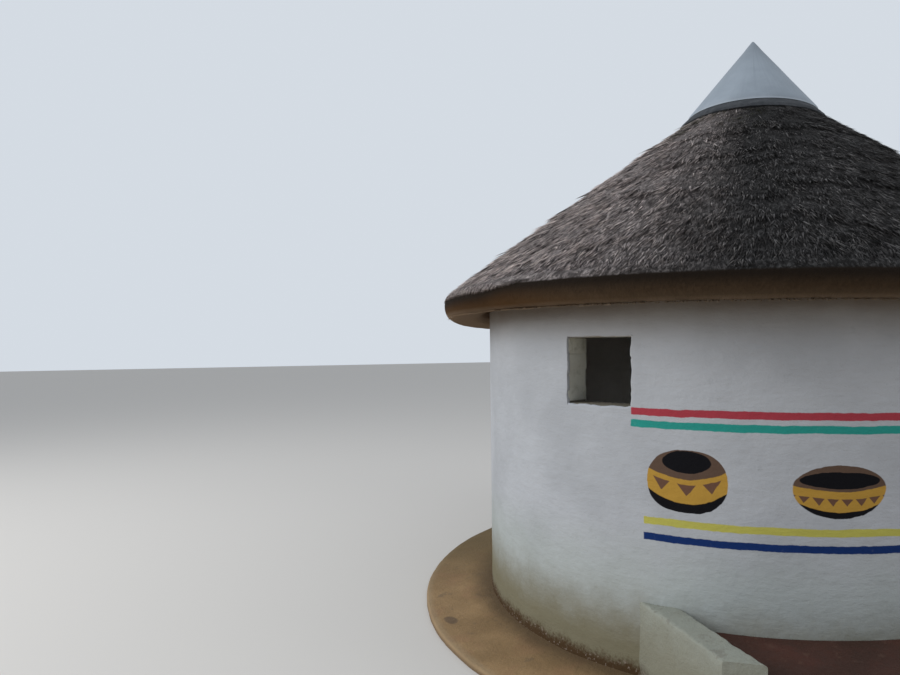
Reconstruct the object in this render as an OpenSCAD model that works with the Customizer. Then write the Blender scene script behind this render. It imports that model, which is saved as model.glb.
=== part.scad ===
// Round hut: a whitewashed masonry wall, a conical thatched roof on gum poles and a cone cap.
// Millimetres, +Z up. The origin is on the ground at the hut's axis, and the doorway faces -Y.
// Angles called "from the door" are measured round the hut from the middle of the doorway.

/* [Wall] */
// Outer radius of the plastered wall
wall_r = 2050; // [1700:10:2600]
// Thickness of the wall with its plaster
wall_t = 190; // [150:5:240]
// Height of the wall's flat top above the ground
wall_h = 2100; // [2000:10:2400]

/* [Doorway] */
// Clear width of the doorway
door_w = 760; // [600:10:950]
// Height of the wall left over the doorway
door_over = 85; // [60:5:300]

/* [Windows] */
// Clear width of a window opening
window_w = 435; // [250:5:700]
// Clear height of a window opening
window_h = 378; // [250:1:480]
// Height of the wall left over a window
window_over = 195; // [120:5:400]
// Middle of a window, in degrees from the door
window_angle = 78.2; // [60:0.1:100]

/* [Floors] */
// Height of the room's floor above the ground
floor_z = 390; // [300:5:500]
// Height of the raised red stoep above the ground
stoep_z = 375; // [250:5:480]
// How far the stoep and the apron reach beyond the wall
apron_out = 495; // [450:5:900]
// Thickness of the apron at the wall
apron_t = 50; // [40:1:90]
// Fall of the apron from the wall to its outer edge
apron_fall = 14; // [0:1:20]
// Rounding of the outer top edge of the apron and the stoep
edge_round = 16; // [6:1:24]
// Where the outer face of a kerb leaves the wall, in degrees from the door
kerb_start_angle = 70.3; // [64:0.1:76]
// Where the outer face of a kerb meets the stoep's rim, in degrees from the door
kerb_end_angle = 56.8; // [50:0.1:62]
// Thickness of a kerb
kerb_t = 150; // [100:5:200]
// Height of a kerb above the ground
kerb_z = 475; // [420:5:560]

/* [Roof timber] */
// Width of the wall plate
plate_w = 100; // [70:5:120]
// Thickness of the wall plate
plate_t = 55; // [40:1:80]
// Number of rafters, every second one a short one
rafter_n = 16; // [12:4:20]
// Diameter of a rafter pole
rafter_d = 90; // [70:1:100]
// How deep a rafter's level foot cut goes at the middle of the plate
foot_cut = 12; // [6:1:20]
// Radius at which a short rafter ends
short_rafter_r = 940; // [800:10:1150]
// Slope of the roof in degrees
pitch = 36.5; // [35:0.5:40]
// Diameter of the boss that the long rafters meet at
boss_d = 280; // [250:10:300]
// Height of the boss
boss_h = 170; // [150:5:240]
// Diameter of a lath
lath_d = 30; // [20:1:40]
// Distance between laths along the slope
lath_gap = 255; // [200:5:300]
// Number of laths
lath_n = 9; // [6:1:9]

/* [Thatch] */
// Thickness of the thatch, square to the slope
thatch_t = 175; // [170:5:260]
// How far the eave reaches beyond the wall
eave_out = 330; // [250:5:400]
// How far the soffit falls from the wall to the eave
soffit_fall = 50; // [0:5:70]
// Radius of the hole left at the top of the thatch
thatch_in_r = 165; // [155:1:180]
// Number of courses of thatch between the eave and the cap
course_n = 5; // [3:1:8]
// How far a course stands over the one below it
course_lap = 12; // [6:1:18]

/* [Cap] */
// Radius of the cap's foot
cap_r = 510; // [420:5:600]
// Height of the cap
cap_h = 620; // [500:10:800]
// Thickness of the cap's shell
cap_t = 15; // [10:1:20]
// Width of the flare at the cap's foot
cap_flare = 14; // [8:1:30]
// How far the collar reaches beyond the cap's foot
collar_out = 55; // [40:1:80]
// Height of the collar above the thatch at its outer edge
collar_h = 60; // [50:1:80]

/* [Hidden] */
$fn = 360;

// Clearance between pieces that seat on each other on a curved or sloping face
seat = 0.3;
// Outer radius of the stoep and of the apron
apron_r = wall_r + apron_out;
// Past everything, for wedges and cuts
far_r = 3 * apron_r;
// The doorway's direction, counted anticlockwise from +X
door_angle = -90;

// Walls
room_r = wall_r - wall_t;
door_head = wall_h - door_over;
window_head = wall_h - window_over;
window_sill = window_head - window_h;
door_half_a = asin(door_w / 2 / wall_r);
window_half_a = asin(window_w / 2 / wall_r);
front_split_a = (door_half_a + window_angle - window_half_a) / 2;
back_a = window_angle + window_half_a;
back_step_a = (180 - back_a) / 3;

// Stoep and kerbs: a kerb is a straight run from the wall out to the rim
stoep_split_a = kerb_start_angle / 3;
kerb_from = wall_r * [cos(door_angle + kerb_start_angle), sin(door_angle + kerb_start_angle)];
kerb_to = apron_r * [cos(door_angle + kerb_end_angle), sin(door_angle + kerb_end_angle)];
kerb_run_a = atan2(kerb_to.y - kerb_from.y, kerb_to.x - kerb_from.x);

// Roof timber, as heights over the radius
plate_r = wall_r - wall_t / 2;
plate_top = wall_h + plate_t;
plate_joint = 2;
rafter_step_a = 360 / rafter_n;
rafter_in_from_face = 15;
rafter_out_r = wall_r - rafter_in_from_face;
boss_r = boss_d / 2;
function slope_z(z_at_plate, r) = z_at_plate + (plate_r - r) * tan(pitch);
rafter_mid_z = plate_top - foot_cut + rafter_d / 2 / cos(pitch);
lath_mid_z = rafter_mid_z + (rafter_d / 2 + seat + lath_d / 2) / cos(pitch);
under_z = lath_mid_z + (lath_d / 2 + seat) / cos(pitch);
top_z = under_z + thatch_t / cos(pitch);
lath_in_from_face = 50;
first_lath_r = wall_r - lath_in_from_face;

// Thatch: the nose is an arc that touches the falling soffit and the sloping top
thatch_n = 12;
thatch_step_a = 360 / thatch_n;
eave_r = wall_r + eave_out;
thatch_foot_r = wall_r + seat;
soffit_w = eave_r - thatch_foot_r;
soffit_a = atan(soffit_fall / soffit_w);
nose_room = (plate_r - eave_r) * sin(pitch) + (top_z - wall_h + soffit_fall) * cos(pitch);
nose_r = nose_room / (1 - sin(pitch) + cos(pitch) * (1 + sin(soffit_a)) / cos(soffit_a));
nose_mid_r = eave_r - nose_r;
nose_mid_z = wall_h + nose_r / cos(soffit_a) - (soffit_w - nose_r) * tan(soffit_a);
nose_mid = [nose_mid_r, nose_mid_z];
nose_steps = 8;
nose_top_r = nose_mid.x + nose_r * sin(pitch);

// Collar and cap
collar_land = 5;
collar_r = cap_r + collar_out;
collar_foot_z = slope_z(top_z, collar_r) + seat / cos(pitch);
collar_top_z = collar_foot_z + collar_h;
collar_in_r = collar_r - collar_h / tan(pitch);
flare_h = 2.2 * cap_flare;
tip_r = 14;

// Courses of thatch, counted up the slope from the eave, which end just short of the collar
course_end = 30;
function course_r(k) = nose_top_r + (collar_r + course_end - nose_top_r) * k / course_n;
function course_point(k, lift) =
    [course_r(k), slope_z(top_z, course_r(k))] + lift * [sin(pitch), cos(pitch)];

// Colours as the photograph shows them
whitewash = [0.86, 0.87, 0.88];
concrete = [0.58, 0.49, 0.38];
red_oxide = [0.42, 0.22, 0.19];
pole_brown = [0.40, 0.29, 0.19];
straw_grey = [0.45, 0.41, 0.37];
cap_blue_grey = [0.72, 0.76, 0.80];
collar_grey = [0.24, 0.24, 0.25];

// A wedge of the plan between two angles from the door
module wedge(a0, a1) {
    steps = 6;
    rim = [for (k = [0:steps]) let (a = door_angle + a0 + (a1 - a0) * k / steps)
        far_r * [cos(a), sin(a)]];
    polygon(concat([[0, 0]], rim));
}

module ring(r_in, r_out) {
    difference() {
        circle(r = r_out);
        circle(r = r_in);
    }
}

// A straight band that runs out from the axis at an angle from the door
module band(a, w) {
    rotate(door_angle + a) translate([0, -w / 2]) square([far_r, w]);
}

// The wall between two angles, with the openings' bands cut out
module wall_plan(a0, a1) {
    difference() {
        intersection() {
            ring(room_r, wall_r);
            wedge(a0, a1);
        }
        band(0, door_w);
        band(window_angle, window_w);
    }
}

// The part of the wall that lies in an opening's band
module opening_plan(a, w) {
    intersection() {
        ring(room_r, wall_r);
        band(a, w);
    }
}

module wall_piece(a0, a1) {
    color(whitewash) linear_extrude(wall_h) wall_plan(a0, a1);
}

module beside_door() {
    wall_piece(0, front_split_a);
}

module front_side() {
    wall_piece(front_split_a, window_angle);
}

module under_window() {
    color(whitewash) linear_extrude(window_sill) opening_plan(window_angle, window_w);
}

module over_window() {
    color(whitewash) translate([0, 0, window_head])
        linear_extrude(window_over) opening_plan(window_angle, window_w);
}

module behind_window() {
    wall_piece(window_angle, back_a + back_step_a);
}

module back_side() {
    wall_piece(back_a + back_step_a, back_a + 2 * back_step_a);
}

module back_middle() {
    wall_piece(back_a + 2 * back_step_a, 180);
}

module on_left() {
    mirror([1, 0, 0]) children();
}

module wall_over_door() {
    color(whitewash) translate([0, 0, door_head])
        linear_extrude(door_over) opening_plan(0, door_w);
}

module door_threshold() {
    color(red_oxide) linear_extrude(floor_z) opening_plan(0, door_w);
}

module room_floor() {
    color(red_oxide) cylinder(r = room_r - seat, h = floor_z);
}

// Everything on the door's side of a line that lies inset from the right kerb's outer face
module door_side(inset) {
    translate(kerb_from) rotate(kerb_run_a) translate([-far_r, -far_r - inset])
        square([2 * far_r, far_r]);
}

// The plan of what lies between the two kerbs' faces
module between_kerbs(inset) {
    intersection() {
        wedge(-kerb_start_angle, kerb_start_angle);
        door_side(inset);
        mirror([1, 0]) door_side(inset);
    }
}

// A slab on the ground between the wall and the rim, with its outer top edge rounded
module rim_slab(h_in, h_out) {
    mid = [apron_r - edge_round, h_out - edge_round];
    edge = [for (k = [0:4]) mid + edge_round * [cos(22.5 * k), sin(22.5 * k)]];
    foot = wall_r + seat;
    rotate_extrude() polygon(concat([[foot, 0], [apron_r, 0]], edge, [[foot, h_in]]));
}

module apron() {
    color(concrete) difference() {
        rim_slab(apron_t, apron_t - apron_fall);
        translate([0, 0, -1]) linear_extrude(apron_t + 2) between_kerbs(0);
    }
}

module stoep(a0, a1) {
    color(red_oxide) intersection() {
        rim_slab(stoep_z, stoep_z);
        translate([0, 0, -1]) linear_extrude(stoep_z + 2) intersection() {
            between_kerbs(kerb_t);
            wedge(a0, a1);
        }
    }
}

module kerb() {
    color(whitewash) linear_extrude(kerb_z) intersection() {
        ring(wall_r + seat, apron_r);
        wedge(0, kerb_start_angle);
        difference() {
            door_side(0);
            door_side(kerb_t);
        }
    }
}

// Straight lengths of timber round the wall's top, mitred where they meet
module wall_plate() {
    half_tan = tan(rafter_step_a / 2);
    r_in = plate_r - plate_w / 2;
    r_out = plate_r + plate_w / 2;
    y_in = r_in * half_tan - plate_joint / 2;
    y_out = r_out * half_tan - plate_joint / 2;
    color(pole_brown) for (k = [0:rafter_n - 1])
        rotate(k * rafter_step_a) translate([0, 0, wall_h]) linear_extrude(plate_t)
            polygon([[r_in, -y_in], [r_out, -y_out], [r_out, y_out], [r_in, y_in]]);
}

// A round pole down the slope, cut plumb at both ends and level where it sits on the plate
module rafter(r_in) {
    intersection() {
        translate([0, 0, slope_z(rafter_mid_z, 0)]) rotate([0, 90 + pitch, 0])
            cylinder(d = rafter_d, h = 2 * wall_r);
        translate([r_in, -rafter_d, plate_top + seat])
            cube([rafter_out_r - r_in, 2 * rafter_d, 2 * wall_r]);
    }
}

module long_rafters() {
    color(pole_brown) for (k = [0:2:rafter_n - 1])
        rotate(k * rafter_step_a) rafter(boss_r + seat);
}

module short_rafters() {
    color(pole_brown) for (k = [1:2:rafter_n - 1])
        rotate(k * rafter_step_a) rafter(short_rafter_r);
}

module roof_boss() {
    color(pole_brown) translate([0, 0, slope_z(rafter_mid_z, boss_r) - boss_h / 2])
        cylinder(r = boss_r, h = boss_h);
}

// Hoops that lie flat on the rafters and carry the thatch
module roof_laths() {
    color(pole_brown) for (k = [0:lath_n - 1]) {
        r = first_lath_r - k * lath_gap * cos(pitch);
        rotate_extrude() translate([r, slope_z(lath_mid_z, r)])
            rotate(22.5 - pitch) circle(d = lath_d / cos(22.5), $fn = 8);
    }
}

// One sector of the thatch: trimmed soffit, rounded nose and courses that lap down the slope
module thatch(i) {
    laps = [for (k = [1:course_n - 1]) for (lift = [0, course_lap]) course_point(k, lift)];
    nose_turn = 180 - pitch + soffit_a;
    nose = [for (k = [0:nose_steps]) let (a = -90 - soffit_a + k * nose_turn / nose_steps)
        nose_mid + nose_r * [cos(a), sin(a)]];
    color(straw_grey) rotate(door_angle + (i - 1) * thatch_step_a)
        rotate_extrude(angle = thatch_step_a) polygon(concat(
            [[thatch_in_r, slope_z(under_z, thatch_in_r)],
             [thatch_foot_r, slope_z(under_z, thatch_foot_r)],
             [thatch_foot_r, wall_h]],
            nose,
            laps,
            [course_point(course_n, 0), [thatch_in_r, slope_z(top_z, thatch_in_r)]]));
}

module cap_collar() {
    color(collar_grey) rotate_extrude() polygon([
        [collar_r, collar_foot_z],
        [cap_r + collar_land, collar_top_z],
        [collar_in_r, collar_top_z]
    ]);
}

// A sheet cone with a flared foot and a small round tip
module cap_cone() {
    side_a = atan2(cap_h - flare_h, cap_r - cap_flare);
    slip = cap_t / sin(side_a);
    tip_z = cap_h - tip_r / cos(side_a);
    tip = [for (k = [0:4]) let (a = (90 - side_a) + k * side_a / 4)
        [tip_r * cos(a), tip_z + tip_r * sin(a)]];
    color(cap_blue_grey) translate([0, 0, collar_top_z]) rotate_extrude() polygon(concat(
        [[cap_r, 0], [cap_r - cap_flare, flare_h]],
        tip,
        [[0, cap_h - cap_t / cos(side_a)],
         [cap_r - cap_flare - slip, flare_h],
         [cap_r - slip, 0]]));
}

on_left() beside_door();  // wall_left_of_door
on_left() front_side();  // wall_front_left
on_left() under_window();  // wall_under_left_window
on_left() over_window();  // wall_over_left_window
on_left() behind_window();  // wall_left_side
on_left() back_side();  // wall_left_back
on_left() back_middle();  // wall_back_left
beside_door();  // wall_right_of_door
front_side();  // wall_front_right
under_window();  // wall_under_right_window
over_window();  // wall_over_right_window
behind_window();  // wall_right_side
back_side();  // wall_right_back
back_middle();  // wall_back_right
wall_over_door();
door_threshold();
room_floor();
apron();
stoep(-kerb_start_angle, -stoep_split_a);  // stoep_left
stoep(-stoep_split_a, stoep_split_a);  // stoep_middle
stoep(stoep_split_a, kerb_start_angle);  // stoep_right
on_left() kerb();  // kerb_left
kerb();  // kerb_right
wall_plate();
long_rafters();
short_rafters();
roof_boss();
roof_laths();
thatch(1);  // thatch_1
thatch(2);  // thatch_2
thatch(3);  // thatch_3
thatch(4);  // thatch_4
thatch(5);  // thatch_5
thatch(6);  // thatch_6
thatch(7);  // thatch_7
thatch(8);  // thatch_8
thatch(9);  // thatch_9
thatch(10);  // thatch_10
thatch(11);  // thatch_11
thatch(12);  // thatch_12
cap_collar();
cap_cone();
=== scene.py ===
# %% [markdown]
# Dressing a round thatched hut
#
# The hut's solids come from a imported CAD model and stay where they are. This script gives them
# their looks: plaster that was put on by hand, painted stripes and pots, a coat of grass, and
# worn cement underfoot. All sizes are in metres, +Z is up and the doorway faces -Y.
# The frame is loaded first, because every piece is placed by it.

# %% Load the frame
import math

import bmesh
import bpy
import numpy as np
from mathutils import Matrix, Vector, noise


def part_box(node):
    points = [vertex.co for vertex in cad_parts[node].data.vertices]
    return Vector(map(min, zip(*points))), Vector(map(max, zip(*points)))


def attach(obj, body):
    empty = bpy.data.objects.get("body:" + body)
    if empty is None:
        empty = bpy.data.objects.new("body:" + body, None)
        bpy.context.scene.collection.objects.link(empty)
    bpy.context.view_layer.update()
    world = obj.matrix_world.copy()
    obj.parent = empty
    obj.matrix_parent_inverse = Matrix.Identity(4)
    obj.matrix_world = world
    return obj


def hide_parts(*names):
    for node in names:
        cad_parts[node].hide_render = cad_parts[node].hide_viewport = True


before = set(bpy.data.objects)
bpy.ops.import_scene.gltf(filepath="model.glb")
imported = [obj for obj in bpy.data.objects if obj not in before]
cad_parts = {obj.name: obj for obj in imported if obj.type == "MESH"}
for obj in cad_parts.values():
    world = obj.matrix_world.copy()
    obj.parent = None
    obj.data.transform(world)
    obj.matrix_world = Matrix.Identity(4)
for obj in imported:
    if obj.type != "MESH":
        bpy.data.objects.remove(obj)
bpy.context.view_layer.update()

# %% [markdown]
# The sizes that the pieces share. An angle called a turn is measured round the hut from the
# middle of the doorway, in radians, and grows towards +X. A place on the hut is then a turn, a
# reach (how far out from the axis) and a height, which is how a builder would set it out.

# %% Shared sizes
WALL_R, ROOM_R = 2.05, 1.86
WALL_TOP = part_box("wall_over_door")[1].z
DOOR_W, DOOR_HEAD = 0.76, 2.015
WINDOW_W, WINDOW_SILL, WINDOW_HEAD = 0.435, 1.527, 1.905
DOOR_TURN, WINDOW_TURN = math.asin(DOOR_W / 2 / WALL_R), math.radians(78.2)
FLOOR_Z, STOEP_Z, KERB_Z = 0.39, 0.375, 0.475
RIM_R, APRON_T, APRON_FALL = 2.545, 0.05, 0.014
PITCH, EAVE_R = math.radians(36.5), 2.38
SIDES = ((-1, "left"), (1, "right"))
print("wall top at", round(WALL_TOP, 3))


def place(turn, reach, z=0.0):
    """The point at a turn from the doorway, a reach from the axis and a height."""
    return Vector((reach * math.sin(turn), -reach * math.cos(turn), z))


# %% [markdown]
# The camera stands where the photographer stood: 5.36 m from the hut's axis, looking past the
# hut's left side. The photograph was cropped, so its centre isn't the lens's centre, and the
# lens is shifted by as much. All of it was worked out from outlines measured in the photograph,
# so it is set once and then left alone.

# %% Camera
LENS_MM, CROP_SHIFT = 25.79, (-0.1485, 0.0618)
EYE_TURN, EYE_REACH, EYE_HEIGHT = math.radians(-55), 5.362, 1.855
LOOK_TILT, LOOK_TURN = math.radians(85.82), math.radians(-40.79)

eye = bpy.data.cameras.new("eye")
eye.sensor_width = 36
eye.lens = LENS_MM
eye.shift_x, eye.shift_y = CROP_SHIFT
camera = bpy.data.objects.new("camera", eye)
camera.location = place(EYE_TURN, EYE_REACH, EYE_HEIGHT)
camera.rotation_euler = (LOOK_TILT, 0, LOOK_TURN)
bpy.context.scene.collection.objects.link(camera)
bpy.context.scene.camera = camera
print("camera at", tuple(round(c, 2) for c in camera.location))

# %% [markdown]
# Materials are written as sums. A small class wraps a node's output socket, and its operators
# add Math nodes, so that a mask such as 1 - dirt * 0.5 reads as it would on paper.

# %% Sockets that can be added and multiplied
class Wire:
    """A node's output that takes part in Python sums."""

    def __init__(self, finish, socket):
        self.finish, self.socket = finish, socket

    def sum(self, operation, *values):
        return self.finish.add("ShaderNodeMath", {"operation": operation}, dict(enumerate(values)))

    def __add__(self, other):
        return self.sum("ADD", self, other)

    def __sub__(self, other):
        return self.sum("SUBTRACT", self, other)

    def __rsub__(self, other):
        return self.sum("SUBTRACT", other, self)

    def __mul__(self, other):
        return self.sum("MULTIPLY", self, other)

    def __truediv__(self, other):
        return self.sum("DIVIDE", self, other)

    def __pow__(self, other):
        return self.sum("POWER", self, other)

    def __abs__(self):
        return self.sum("ABSOLUTE", self)

    __radd__, __rmul__ = __add__, __mul__


# %% [markdown]
# A second class is one material, or the sky. Its add method makes any node: the settings come
# first, because some of them change which sockets a node has. The other methods are the few
# steps that all the finishes are built from: cloudy noise, a soft change from one value to
# another, and a shade laid over a colour where such a change says so. All of them work on the
# place in space, because the pieces have no unwrapped map.

# %% A finish and its few steps
class Finish:
    """A new material, or one of another kind of data, and the nodes that make it."""

    def __init__(self, name, kind=bpy.data.materials):
        self.made = kind.new(name)
        self.made.use_nodes = True
        self.tree = self.made.node_tree
        self.tree.nodes.clear()
        self.place = self.add("ShaderNodeTexCoord", out="Object")

    def add(self, kind, settings=None, sockets=None, out=0):
        """Adds a node: its settings first, then the values or wires of its sockets."""
        node = self.tree.nodes.new(kind)
        for name, value in (settings or {}).items():
            setattr(node, name, value)
        for name, value in (sockets or {}).items():
            if isinstance(value, Wire):
                self.tree.links.new(value.socket, node.inputs[name])
            else:
                node.inputs[name].default_value = value
        return Wire(self, node.outputs[out]) if len(node.outputs) else node

    def apart(self):
        """The x, y and z of the place."""
        return [self.add("ShaderNodeSeparateXYZ", None, {0: self.place}, k) for k in range(3)]

    def height(self):
        return self.apart()[2]

    def reach(self):
        """How far the place is from the hut's axis."""
        x, y, _ = self.apart()
        return (x * x + y * y) ** 0.5

    def stretch(self, factors):
        """The place, stretched along each axis."""
        return self.add("ShaderNodeVectorMath", {"operation": "MULTIPLY"},
                        {0: self.place, 1: factors})

    def down_the_slope(self, round_scale, slope_scale):
        """A place whose pattern runs down the slope, wherever it is on the roof."""
        x, y, z = self.apart()
        reach = self.reach()
        sockets = {0: x / reach * round_scale, 1: y / reach * round_scale, 2: z * slope_scale}
        return self.add("ShaderNodeCombineXYZ", None, sockets)

    def speckle(self, scale, detail=2.0, rough=0.5, at=None, warp=0.0):
        """Cloudy noise from 0 to 1, about 1/scale metres to a cloud."""
        sockets = {"Vector": at or self.place, "Scale": scale, "Detail": detail,
                   "Roughness": rough, "Distortion": warp}
        return self.add("ShaderNodeTexNoise", None, sockets)

    def ease(self, value, low, high, start=0.0, end=1.0):
        """Takes a value from start to end as it passes from low to high, softly."""
        return self.add("ShaderNodeMapRange", {"interpolation_type": "SMOOTHSTEP"},
                        {0: value, 1: low, 2: high, 3: start, 4: end})

    def tint(self, share, under, over):
        """Lays one colour over another by a share from 0 to 1."""
        under, over = [c if isinstance(c, Wire) else (*c, 1.0) for c in (under, over)]
        return self.add("ShaderNodeMix", {"data_type": "RGBA"},
                        {0: share, 6: under, 7: over}, out=2)

    def stain(self, colour, shade, value, low, high, share=1.0):
        """Lays a shade over a colour as a value passes from low to high."""
        return self.tint(self.ease(value, low, high, 0.0, share), colour, shade)

    def relief(self, height, depth):
        """A bump of a depth in metres."""
        return self.add("ShaderNodeBump", None,
                        {"Height": height, "Distance": depth, "Strength": 1.0})

    def done(self, colour, roughness, normal=None, **constants):
        """Closes the finish with its shader."""
        sockets = {"Base Color": colour, "Roughness": roughness, **constants}
        if normal:
            sockets["Normal"] = normal
        shader = self.add("ShaderNodeBsdfPrincipled", None, sockets)
        self.add("ShaderNodeOutputMaterial", None, {"Surface": shader})
        print("finish", self.made.name, "with", len(self.tree.nodes), "nodes")
        return self.made


DULL = {"Specular IOR Level": 0.12}

# %% [markdown]
# The stage is a plain pale floor under an even, overcast sky, because the photograph was taken
# on a grey day. What the camera sees of the floor and the sky is pale. What they throw back on
# the hut is darker, and brown where it comes from the floor, so that the underside of the roof
# keeps its warm shade. A node that tells the camera's rays from the others parts the two.

# %% Floor
def two_faced(finish, seen, felt):
    """The colour that the camera sees, and the one that lights the object."""
    rays = [finish.add("ShaderNodeLightPath", out=name) for name in
            ("Is Camera Ray", "Is Glossy Ray", "Is Transmission Ray")]
    looked_at = rays[0].sum("MAXIMUM", rays[0], rays[1].sum("MAXIMUM", rays[1], rays[2]))
    return finish.tint(looked_at, felt, seen)


stage = Finish("stage_floor")
stage_floor = stage.done(two_faced(stage, (0.62, 0.60, 0.57), (0.40, 0.32, 0.24)), 0.9)

bm = bmesh.new()
bmesh.ops.create_grid(bm, x_segments=1, y_segments=1, size=60)
floor_mesh = bpy.data.meshes.new("floor")
bm.to_mesh(floor_mesh)
bm.free()
floor_mesh.materials.append(stage_floor)
floor = bpy.data.objects.new("floor", floor_mesh)
floor.location.z = -0.001
bpy.context.scene.collection.objects.link(floor)

# %% [markdown]
# Two large, soft lamps stand for the brighter parts of the sky: one far out on the camera's
# left, which shows the round of the wall, and a weaker one on the doorway's side.

# %% Sky and lamps
sky = Finish("overcast", bpy.data.worlds)
looked_at = sky.add("ShaderNodeLightPath", out="Is Camera Ray")
shade = sky.tint(looked_at, (0.54, 0.57, 0.61), (0.66, 0.71, 0.77))
glow = sky.add("ShaderNodeBackground", None, {"Color": shade, "Strength": 1.0})
sky.add("ShaderNodeOutputWorld", None, {"Surface": glow})
bpy.context.scene.world = sky.made


def soft_lamp(name, at, size, power):
    """A round lamp that looks at the middle of the hut."""
    lamp = bpy.data.lights.new(name, "AREA")
    lamp.shape, lamp.size, lamp.energy = "DISK", size, power
    holder = bpy.data.objects.new(name, lamp)
    holder.location = at
    look = Vector((0, 0, 1.8)) - Vector(at)
    holder.rotation_euler = look.to_track_quat("-Z", "Y").to_euler()
    bpy.context.scene.collection.objects.link(holder)
    print("lamp", name, "of", power, "W")


soft_lamp("key", (-12.0, 4.5, 7.5), 9.0, 1050)
soft_lamp("fill", (7.0, -11.0, 6.0), 7.0, 420)
bpy.context.scene.view_settings.view_transform = "Standard"

# %% [markdown]
# Three helpers serve every piece. Two of them write a mesh to an object that stays at the origin
# and rides on the hut. The normals are made to face out first, because cuts and merged doubles
# leave some of them turned. The third gives a finish to a CAD solid that keeps its own shape.

# %% From a bmesh to a piece
def write_piece(mesh, name, material, replaces=()):
    mesh.materials.append(material)
    piece = bpy.data.objects.new(name, mesh)
    bpy.context.scene.collection.objects.link(piece)
    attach(piece, "root")
    if replaces:
        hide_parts(*replaces)
    mesh.calc_loop_triangles()
    print("piece", name, "with", len(mesh.loop_triangles), "triangles")


def finish_piece(bm, name, material, replaces=(), smooth=35):
    """Writes a bmesh to a piece. Above the angle called smooth, in degrees, an edge is sharp."""
    bmesh.ops.recalc_face_normals(bm, faces=bm.faces)
    mesh = bpy.data.meshes.new(name)
    bm.to_mesh(mesh)
    bm.free()
    mesh.shade_smooth()
    mesh.set_sharp_from_angle(angle=math.radians(smooth))
    write_piece(mesh, name, material, replaces)


def give_finish(names, material):
    """A CAD solid whose shape is right keeps it and takes a finish."""
    for name in names:
        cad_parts[name].data.materials.clear()
        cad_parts[name].data.materials.append(material)


# %% [markdown]
# The other helpers are the steps that the shapes repeat. A sheet is made flat, given its
# thickness and bent round the hut, because cuts and chamfers are easier on a flat sheet. What
# goes all the way round is a closed section that is spun. Soft noise then sinks a surface here
# and there, as a hand leaves it.

# %% Steps that the shapes repeat
def whole(bm):
    return bm.verts[:] + bm.edges[:] + bm.faces[:]


def verts_in(geom):
    return [g for g in geom if isinstance(g, bmesh.types.BMVert)]


def thicken(bm, depth):
    """Extrudes a sheet that faces -Y, so that it gets a back at a depth behind its face."""
    back = verts_in(bmesh.ops.extrude_face_region(bm, geom=bm.faces[:])["geom"])
    bmesh.ops.translate(bm, vec=(0, depth, 0), verts=back)


def wrap_round(bm, radius):
    """Bends a sheet that stands in the XZ plane, with its face towards -Y, round the hut."""
    for v in bm.verts:
        v.co = place(v.co.x / radius, radius - v.co.y, v.co.z)


def round_edges(bm, edges, radius, segments):
    bmesh.ops.bevel(bm, geom=edges, offset=radius, offset_type="OFFSET", affect="EDGES",
                    segments=segments, profile=0.5, material=-1)


def closed_section(bm, points, longest, cuts):
    """Joins points in a closed loop, and cuts the edges finer that are longer than longest."""
    verts = [bm.verts.new(point) for point in points]
    edges = [bm.edges.new((verts[k - 1], verts[k])) for k in range(len(verts))]
    long_edges = [e for e in edges if e.calc_length() > longest]
    bmesh.ops.subdivide_edges(bm, edges=long_edges, cuts=cuts)


def spin_full(bm, steps, weld):
    """Spins a section all the way round the hut's axis and merges what meets."""
    bmesh.ops.spin(bm, geom=bm.verts[:] + bm.edges[:], cent=(0, 0, 0), axis=(0, 0, 1),
                   angle=2 * math.pi, steps=steps, use_merge=True)
    bmesh.ops.remove_doubles(bm, verts=bm.verts, dist=weld)


def bumps(at, size, seed=0.0):
    """Soft noise from about -1 to 1, size metres to a bump."""
    return noise.noise(Vector(at) / size + Vector((seed, 3.1 * seed, 7.7)))


def push_in(v, by):
    """Moves a vertex straight towards the hut's axis."""
    share = 1 - by / math.hypot(v.co.x, v.co.y)
    v.co.x *= share
    v.co.y *= share


# %% [markdown]
# The whitewashed plaster. Limewash over hand-floated plaster is never one white: it has grey
# smudges, thin brush marks round the wall and dark specks. An image of old plaster would show
# its repeats on so large a wall, so each of these is noise at its own scale.

# %% Bare limewash
WHITE = (0.448, 0.475, 0.512)


def darker(colour, share):
    return tuple(c * share for c in colour)


def limewash(finish, white=WHITE):
    clouds = finish.speckle(1.7, 4, 0.55)
    brushed = finish.speckle(7, 4, 0.65, finish.stretch((1, 1, 5)))
    specks = finish.speckle(95, 2, 0.6)
    smudges = finish.speckle(14, 5, 0.7)
    colour = finish.stain(white, darker(white, 0.80), clouds, 0.35, 0.70, 0.75)
    colour = finish.stain(colour, darker(white, 0.80), brushed, 0.50, 0.80, 0.40)
    colour = finish.stain(colour, darker(white, 0.45), specks, 0.70, 0.76, 0.40)
    return finish.stain(colour, darker(white, 0.70), smudges, 0.62, 0.72, 0.30)


def hand_floated(finish):
    """Float marks, lumps and fine sand."""
    marks = finish.speckle(6, 4, 0.6, finish.stretch((1, 1, 3)))
    lumps, sand = finish.speckle(20, 4, 0.6), finish.speckle(220, 3, 0.6)
    return finish.relief(marks * 0.9 + lumps * 0.6 + sand * 0.12, 0.006)
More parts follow.
